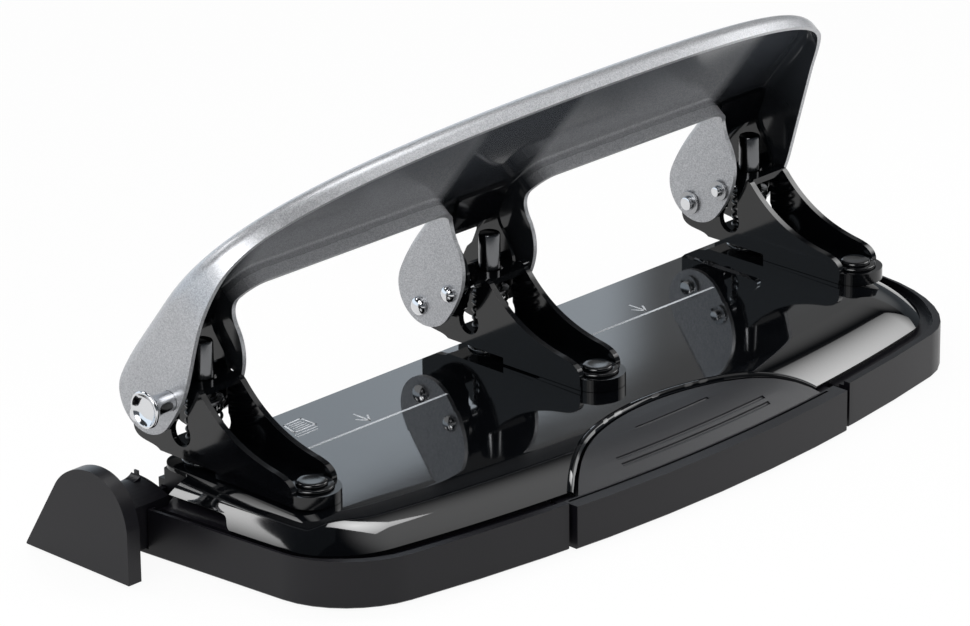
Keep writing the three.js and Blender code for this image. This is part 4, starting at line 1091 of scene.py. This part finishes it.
# ------------------------------------------------------------------ heads
class PUNCH_OT_heads(bpy.types.Operator):
    """Makes the three punch heads with their feet, rivets, dies and levers"""

    bl_idname = "punch.heads"
    bl_label = "Heads"

    def execute(self, context):
        for side in SIDES:
            self.bracket(side)
            refined(f"lever_bracket_{side}", "head_enamel", 0.3 * MM)
            refined(f"die_{side}", "zinc_plate", 0.15 * MM)
            low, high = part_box(f"foot_washer_{side}")
            middle = Vector(((low.x + high.x) / 2, (low.y + high.y) / 2, 0))
            r = (high.x - low.x) / 2
            bm = bmesh.new()
            profile = [
                (low.z, 2.1 * MM),
                (low.z, r),
                (high.z - 0.45 * MM, r),
                (high.z - 0.13 * MM, r - 0.13 * MM),
                (high.z, r - 0.45 * MM),
                (high.z, 2.1 * MM),
                (low.z, 2.1 * MM),
            ]
            spun(bm, profile, middle, (0, 0, 1), 56)
            evened(standing_for(f"foot_washer_{side}", bm, ["head_enamel"]))
            low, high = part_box(f"foot_rivet_{side}")
            r = (high.x - low.x) / 2
            seat = high.z - 0.9 * MM
            bm = bmesh.new()
            profile = [(low.z, 0), (low.z, 2 * MM), (seat, 2 * MM), (seat, r)]
            profile += [(seat + 0.3 * MM, r), (high.z - 0.28 * MM, r - 0.1 * MM)]
            profile += [(high.z - 0.08 * MM, r - 0.4 * MM), (high.z, r - 0.9 * MM)]
            profile += [(high.z - 0.06 * MM, r * 0.5), (high.z - 0.08 * MM, 0)]
            spun(bm, profile, middle, (0, 0, 1), 48)
            evened(standing_for(f"foot_rivet_{side}", bm, ["head_enamel"]))
        return {"FINISHED"}

    def bracket(self, side):
        """A folded sheet: two walls with a paper mouth and a nose round the pivot,
        a bridge, a jaw, a paper stop and a round-ended foot."""
        x = head_x(side)
        low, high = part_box(f"head_bracket_{side}")
        half = (high.x - low.x) / 2
        wall = 1.8 * MM
        pin = pivot()
        foot = low.y + 7.9 * MM
        jaw = low.z + 1.8 * MM
        stop = -12.7 * MM

        bm = bmesh.new()
        for start in (x - half, x + half - wall):
            sideways(bm, start, self.wall_outline(low, high), wall)
        piece = standing_for(f"head_bracket_{side}", bm, ["head_enamel"])
        parts = bmesh.new()
        for near, far, bottom, top in (
            (-7.2 * MM, 6.0 * MM, high.z - 1.8 * MM, high.z),
            (stop - 1.2 * MM, 8.4 * MM, jaw, jaw + 2.5 * MM),
            (stop - 3 * MM, stop, low.z, jaw + 2.5 * MM),
        ):
            inner = half - wall + 0.1 * MM
            corners = ((-inner, near), (inner, near), (inner, far), (-inner, far))
            upright(parts, [(x + across, y) for across, y in corners], bottom, top)
        sole = [(x - half, stop)] + arc((x, foot), half - 0.2 * MM, 180, 360, 40)
        sole.append((x + half, stop))
        upright(parts, sole, low.z, low.z + 3.4 * MM)
        combined(piece, parts, "UNION")
        holes = bmesh.new()
        rod(holes, (x, 0, 0), (0, 0, 1), 3.7 * MM, 0, 2 * high.z)
        rod(holes, (x, foot, 0), (0, 0, 1), 2.2 * MM, 0, 2 * high.z)
        rod(holes, (x, pin.y, pin.z), (1, 0, 0), 2.15 * MM, -20 * MM, 20 * MM)
        at_rest = pin_axis("drive_pin_middle").yz
        pressed = Vector((-0.4 * MM, pin.z - 3.46 * MM))
        for start in (-20 * MM, half - wall - 0.6 * MM):
            end = start + 20 * MM - half + wall + 0.6 * MM if start < 0 else 20 * MM
            rod(holes, (x, at_rest.x, at_rest.y), (1, 0, 0), 2.9 * MM, start, end)
            low_end = (x, pressed.x + 0.8 * MM, pressed.y - 0.2 * MM)
            rod(holes, low_end, (1, 0, 0), 3.75 * MM, start, end)
            waist = 2.56 * MM
            corners = (
                (-waist, pressed.y),
                (waist, pressed.y),
                (waist, at_rest.y + 0.8 * MM),
                (-waist, at_rest.y + 0.8 * MM),
            )
            sideways(holes, x + start, corners, end - start)
        combined(piece, holes)
        eased(piece, 0.6 * MM, segments=4, limit=35)

    def wall_outline(self, low, high):
        """Side view of a bracket wall as (y, z) points."""
        pin = pivot()
        end = low.y + 6.7 * MM
        jaw = low.z + 1.8 * MM
        points = [(end, low.z + 1.2 * MM), (-12.7 * MM, low.z + 0.6 * MM)]
        points += [(-12.7 * MM, jaw), (8.6 * MM, jaw)]
        chin = (15.2 * MM, jaw + 1.5 * MM)
        points += bezier(points[-1], (10.2 * MM, jaw + 1.2 * MM), (12.4 * MM, jaw + MM), chin, 8)
        nose = (18.9 * MM, jaw + 5.4 * MM)
        points += bezier(chin, (17.8 * MM, jaw + 2.0 * MM), (18.9 * MM, jaw + 3.2 * MM), nose, 8)
        points += arc((pin.y, pin.z), 6.6 * MM, 2, 80, 18)
        brow = (4.6 * MM, high.z)
        points += bezier(points[-1], (9.6 * MM, pin.z + 6.9 * MM), (8.4 * MM, high.z), brow, 10)
        crown = (-5.4 * MM, high.z)
        back = (-8.4 * MM, high.z - 1.5 * MM)
        waist = (end + 7 * MM, low.z + 8.0 * MM)
        points.append(crown)
        points += bezier(crown, (-6.8 * MM, high.z), (-7.4 * MM, high.z - 0.4 * MM), back, 8)
        points += bezier(back, (-15.6 * MM, high.z - 9.4 * MM), (-24.5 * MM, low.z + 9.6 * MM), waist, 26)
        heel = (end, low.z + 3.2 * MM)
        points += bezier(waist, (end + 3.2 * MM, low.z + 7.4 * MM), (end, low.z + 6.4 * MM), heel, 12)
        return points


class PUNCH_OT_punches(bpy.types.Operator):
    """Makes the punches, their push-on rings and the return springs"""

    bl_idname = "punch.punches"
    bl_label = "Punches"

    def execute(self, context):
        for side in SIDES:
            x = head_x(side)
            low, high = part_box(f"punch_{side}")
            r = (high.x - low.x) / 2
            bm = bmesh.new()
            shank = 0.86 * r
            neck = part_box(f"head_bracket_{side}")[1].z - 2.2 * MM
            profile = [(low.z + 0.9 * MM, 0), (low.z + 0.5 * MM, r - MM), (low.z, r)]
            profile += [(neck, r), (neck + 0.4 * MM, shank)]
            profile += [(high.z - 0.7 * MM, shank), (high.z - 0.25 * MM, shank - 0.2 * MM)]
            profile += [(high.z, shank - 0.7 * MM), (high.z, 0)]
            spun(bm, profile, (x, 0, 0), (0, 0, 1), 56)
            punch = standing_for(f"punch_{side}", bm, ["ground_steel"])
            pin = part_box("drive_pin_middle")
            level = (pin[0].z + pin[1].z) / 2
            slot = bmesh.new()
            half, reach = 1.85 * MM, 1.0 * MM
            shape = arc((reach, level), half, -90, 90, 10)
            shape += arc((-reach, level), half, 90, 270, 10)
            sideways(slot, x - 10 * MM, shape, 20 * MM)
            combined(punch, slot)
            creased(punch)
            refined(f"punch_clip_{side}", "zinc_plate", 0.1 * MM)
            self.spring(side, x)
        return {"FINISHED"}

    def spring(self, side, x):
        """A coil between the jaw and the push-on ring; it shortens as the punch goes
        down."""
        wire = 0.45 * MM
        coil = 4.7 * MM
        turns = 4.5
        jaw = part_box(f"return_spring_{side}")[0].z - 0.1 * MM
        start = jaw + wire + 0.1 * MM
        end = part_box(f"return_spring_{side}")[1].z - wire
        steps = 130
        bm = bmesh.new()
        bmesh.ops.create_circle(
            bm, cap_ends=True, segments=10, radius=wire,
            matrix=Matrix.Translation((x + coil, 0, start))
            @ Matrix.Rotation(math.pi / 2, 4, "X"),
        )
        bmesh.ops.spin(
            bm, geom=bm.verts[:] + bm.edges[:] + bm.faces[:], cent=(x, 0, 0), axis=(0, 0, 1),
            dvec=(0, 0, (end - start) / steps), angle=math.tau * turns, steps=steps,
            use_merge=False,
        )
        bmesh.ops.recalc_face_normals(bm, faces=bm.faces)
        # the spring's near-black steel is painted shade
        spring = standing_for(f"return_spring_{side}", bm, ["spring_steel_painted_shade"])
        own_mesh(spring)


# ------------------------------------------------------------------ pins
def turned_pin(node, profile, material="polished_chrome"):
    """A pin along the row, given as (x, radius) pairs, in place of a CAD node."""
    bm = bmesh.new()
    spun(bm, profile, pin_axis(node), (1, 0, 0), 64)
    return creased(standing_for(node, bm, [material]), 40)


class PUNCH_OT_pins(bpy.types.Operator):
    """Makes the pivot and drive pins, their spring clips and the push-in lock"""

    bl_idname = "punch.pins"
    bl_label = "Pins and lock"

    def execute(self, context):
        for node, radius in (
            ("pivot_pin_left", 2 * MM),
            ("pivot_pin_middle", 2 * MM),
            ("pivot_pin_right", 2 * MM),
            ("drive_pin_middle", 1.5 * MM),
            ("drive_pin_right", 1.5 * MM),
        ):
            low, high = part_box(node)
            head = radius * 0.55 + 1.6 * MM
            if node.endswith("middle"):
                seat = low.x + 2.1 * MM
                near = [
                    (low.x, 0),
                    (low.x + 0.12 * MM, head * 0.35),
                    (low.x + 0.45 * MM, head * 0.66),
                    (low.x + 0.95 * MM, head * 0.9),
                    (low.x + 1.5 * MM, head),
                    (seat, head),
                    (seat, radius),
                ]
            else:
                near = [
                    (low.x, 0),
                    (low.x, radius - 0.35 * MM),
                    (low.x + 0.12 * MM, radius - 0.1 * MM),
                    (low.x + 0.4 * MM, radius),
                ]
            seat = high.x - 0.9 * MM
            far = [(seat, radius), (seat, radius + MM), (high.x, radius + MM), (high.x, 0)]
            turned_pin(node, near + far)
        low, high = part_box("lock_pin")
        face = low.x
        stem = 2.7 * MM
        knob = (high.z - low.z) / 2
        stem_end = head_x("left") - 8.45 * MM
        dish = [(face + 1.3 * MM, 0), (face + 1.3 * MM, 0.4 * knob)]
        lip = Vector((face + 0.1 * MM, knob - 0.75 * MM))
        dish += bezier(dish[-1], (face + 1.3 * MM, 0.65 * knob), lip, lip, 8)
        dish += [(face, knob - 0.5 * MM), (face + 0.05 * MM, knob - 0.25 * MM)]
        dish += [(face + 0.25 * MM, knob - 0.05 * MM), (face + 0.5 * MM, knob)]
        dish += [(face + 0.8 * MM, knob - 0.05 * MM), (face + MM, knob - 0.25 * MM)]
        flare = (face + 1.8 * MM, stem + 1.2 * MM), (face + 3.5 * MM, stem + 0.1 * MM)
        dish += bezier(dish[-1], *flare, (face + 6.5 * MM, stem), 12)
        dish += [(stem_end, stem), (stem_end, 1.5 * MM), (high.x, 1.5 * MM), (high.x, 0)]
        turned_pin("lock_pin", dish)
        for node in ("pivot_clip_right", "drive_clip_right"):
            refined(node, "zinc_plate", 0.12 * MM)
        return {"FINISHED"}


# ------------------------------------------------------------------ stage
CAMERA_PLACE = (-0.95654, -0.93593, 0.55744)
CAMERA_AZIMUTH = math.radians(-45.562)
CAMERA_ELEVATION = math.radians(21.553)
CAMERA_ROLL = math.radians(-0.6825)
CAMERA_LENS = 192.97
CAMERA_SENSOR = 36.0


def add_camera():
    data = bpy.data.cameras.new("Camera")
    data.lens = CAMERA_LENS
    data.sensor_width = CAMERA_SENSOR
    data.clip_start = 0.05
    data.clip_end = 20
    camera = bpy.data.objects.new("Camera", data)
    bpy.context.scene.collection.objects.link(camera)
    flat = math.cos(CAMERA_ELEVATION)
    back = Vector(
        (math.sin(CAMERA_AZIMUTH) * flat, -math.cos(CAMERA_AZIMUTH) * flat, math.sin(CAMERA_ELEVATION))
    )
    turn = (-back).to_track_quat("-Z", "Y").to_matrix().to_4x4()
    roll = Matrix.Rotation(CAMERA_ROLL, 4, "Z")
    camera.matrix_world = Matrix.Translation(CAMERA_PLACE) @ turn @ roll
    bpy.context.scene.camera = camera


# The soft lamps: name, place, aim, width, height, brightness and spread in degrees.
SOFTBOXES = (
    ("left strip", (-0.22, 0.30, 0.36), (-0.19, -0.04, 0.02), 0.21, 0.117, 8.0, 50),
    ("right card", (0.40, -0.16, 0.25), (0.07, -0.07, 0.015), 0.40, 0.22, 5.5, 60),
    ("corner card", (0.075, 0.03, 0.45), (-0.11, -0.058, 0.018), 0.24, 0.11, 9.0, 46),
    ("front fill", (-0.9, -0.5, 0.9), (0.0, -0.03, 0.04), 0.5, 0.5, 2.0, 180),
)


def add_softbox(name, place, aim, width, height, radiance, spread):
    """A soft lamp whose face has the given brightness, where 1 is white."""
    data = bpy.data.lights.new(name, "AREA")
    data.shape = "RECTANGLE"
    data.size = width
    data.size_y = height
    half = math.radians(spread) / 2
    gathered = 1.0 if spread == 180 else 1 - half / math.tan(half)
    data.energy = radiance * gathered * math.pi * width * height
    data.spread = math.radians(spread)
    lamp = bpy.data.objects.new(name, data)
    bpy.context.scene.collection.objects.link(lamp)
    way = Vector(aim) - Vector(place)
    turn = way.to_track_quat("-Z", "Y").to_matrix().to_4x4()
    lamp.matrix_world = Matrix.Translation(place) @ turn


# Soft patches of light that gloss sees in the room: azimuth, elevation and half
# width in degrees, and brightness at the middle.
GLOWS = ((-25, 55, 32, 0.6), (-14, 52, 30, 0.45), (32, 24, 16, 0.35), (195, 40, 24, 9.0))


def add_world():
    """White for the camera, a pale room for matt surfaces, and for gloss a white
    horizon under a dark ceiling."""
    world = bpy.data.worlds.new("Studio")
    bpy.context.scene.world = world
    world.use_nodes = True
    tree = world.node_tree
    tree.nodes.clear()
    path = add(tree, "LightPath", output=None).outputs
    way = add(tree, "TexCoord", output="Generated")
    split = add(tree, "SeparateXYZ", {"Vector": way}, None).outputs
    turn = add(tree, "Math", {0: split["Y"], 1: split["X"]}, operation="ARCTAN2")
    # by azimuth, the dark ceiling starts a little lower on one side than on the other
    edge = add(
        tree, "MapRange",
        {
            "Value": turn, "From": (math.radians(40), math.radians(48)),
            "To": (math.sin(math.radians(21.1)), math.sin(math.radians(24.4))),
        },
    )
    above = add(tree, "Math", {0: split["Z"], 1: edge}, operation="SUBTRACT")
    ceiling = add(
        tree, "MapRange", {"Value": above, "From": (-0.002, 0.002), "To": (1.0, 0.035)},
        interpolation_type="SMOOTHSTEP",
    )
    # the horizon under it is dim up to azimuth 42.3 degrees and bright from 43.1
    fall = add(
        tree, "MapRange",
        {"Value": turn, "From": (math.radians(42.3), math.radians(43.1)), "To": (0.13, 1.35)},
        interpolation_type="SMOOTHSTEP",
    )
    horizon = add(tree, "Math", {0: ceiling, 1: fall}, operation="MULTIPLY")
    level = 0.0
    for azimuth, elevation, spread, strength in GLOWS:
        flat = math.cos(math.radians(elevation))
        centre = (
            flat * math.cos(math.radians(azimuth)), flat * math.sin(math.radians(azimuth)),
            math.sin(math.radians(elevation)),
        )
        near = add(tree, "VectorMath", {0: way, 1: centre}, "Value", operation="DOT_PRODUCT")
        glow = add(
            tree, "MapRange",
            {"Value": near, "From": (math.cos(math.radians(spread)), 1.0), "To": (0.0, strength)},
            interpolation_type="SMOOTHSTEP",
        )
        level = add(tree, "Math", {0: level, 1: glow}, operation="ADD")
    lit = add(tree, "Background", {"Color": (1, 1, 1, 1), "Strength": 0.85})
    far = add(tree, "Background", {"Color": (0.8, 0.9, 1, 1), "Strength": horizon})
    glows = add(tree, "Background", {"Color": (1, 1, 1, 1), "Strength": level})
    mirrored = add(tree, "AddShader", {0: far, 1: glows})
    seen = add(tree, "Background", {"Color": (1, 1, 1, 1), "Strength": 1.0})
    gloss = add(tree, "MixShader", {0: path["Is Glossy Ray"], 1: lit, 2: mirrored})
    clear = add(tree, "MixShader", {0: path["Is Camera Ray"], 1: gloss, 2: seen})
    add(tree, "OutputWorld", {"Surface": clear}, None)


def add_floor():
    """A pale floor that keeps the object's shadow; gloss sees it white."""
    bm = bmesh.new()
    bmesh.ops.create_grid(bm, x_segments=1, y_segments=1, size=4.0)
    bmesh.ops.translate(bm, verts=bm.verts, vec=(0, 0, -0.1 * MM))
    mesh = bpy.data.meshes.new("floor")
    bm.to_mesh(mesh)
    bm.free()
    floor = bpy.data.objects.new("floor", mesh)
    bpy.context.scene.collection.objects.link(floor)
    material = bpy.data.materials.new("pale_floor")
    material.use_nodes = True
    tree = material.node_tree
    tree.nodes.clear()
    path = add(tree, "LightPath", output=None).outputs
    matt = add(tree, "BsdfDiffuse", {"Color": shade(colours().floor)})
    white = add(tree, "Emission", {"Color": (1, 1, 1, 1), "Strength": 1.0})
    seen = add(tree, "Math", {0: path["Is Camera Ray"], 1: 0.93}, operation="MULTIPLY")
    mirrored = add(tree, "Math", {0: path["Is Glossy Ray"], 1: 0.8}, operation="MULTIPLY")
    share = add(tree, "Math", {0: seen, 1: mirrored}, operation="MAXIMUM")
    both = add(tree, "MixShader", {0: share, 1: matt, 2: white})
    add(tree, "OutputMaterial", {"Surface": both}, None)
    mesh.materials.append(material)


class PUNCH_OT_stage(bpy.types.Operator):
    """Sets the camera, the soft lamps and the pale floor"""

    bl_idname = "punch.stage"
    bl_label = "Stage"

    def execute(self, context):
        context.scene.view_settings.view_transform = "Standard"
        add_camera()
        add_world()
        add_floor()
        for lamp in SOFTBOXES:
            add_softbox(*lamp)
        return {"FINISHED"}


# ------------------------------------------------------------------ add-on
class PUNCH_PT_panel(bpy.types.Panel):
    """Lists the steps that build the desk punch"""

    bl_label = "Desk Punch"
    bl_idname = "PUNCH_PT_panel"
    bl_space_type = "VIEW_3D"
    bl_region_type = "UI"
    bl_category = "Desk Punch"

    def draw(self, context):
        for step in STEPS:
            self.layout.operator(step.bl_idname)


STEPS = (
    PUNCH_OT_base,
    PUNCH_OT_cover_plate,
    PUNCH_OT_print,
    PUNCH_OT_heads,
    PUNCH_OT_punches,
    PUNCH_OT_pins,
    PUNCH_OT_handle,
    PUNCH_OT_stage,
)
CLASSES = (PunchSizes, PunchColours, *STEPS, PUNCH_PT_panel)


def register():
    for cls in CLASSES:
        bpy.utils.register_class(cls)
    bpy.types.Scene.punch_sizes = PointerProperty(type=PunchSizes)
    bpy.types.Scene.punch_colours = PointerProperty(type=PunchColours)


def unregister():
    del bpy.types.Scene.punch_colours
    del bpy.types.Scene.punch_sizes
    for cls in reversed(CLASSES):
        bpy.utils.unregister_class(cls)


def main():
    register()
    for step in STEPS:
        group, name = step.bl_idname.split(".")
        getattr(getattr(bpy.ops, group), name)()


if __name__ == "__main__":
    main()
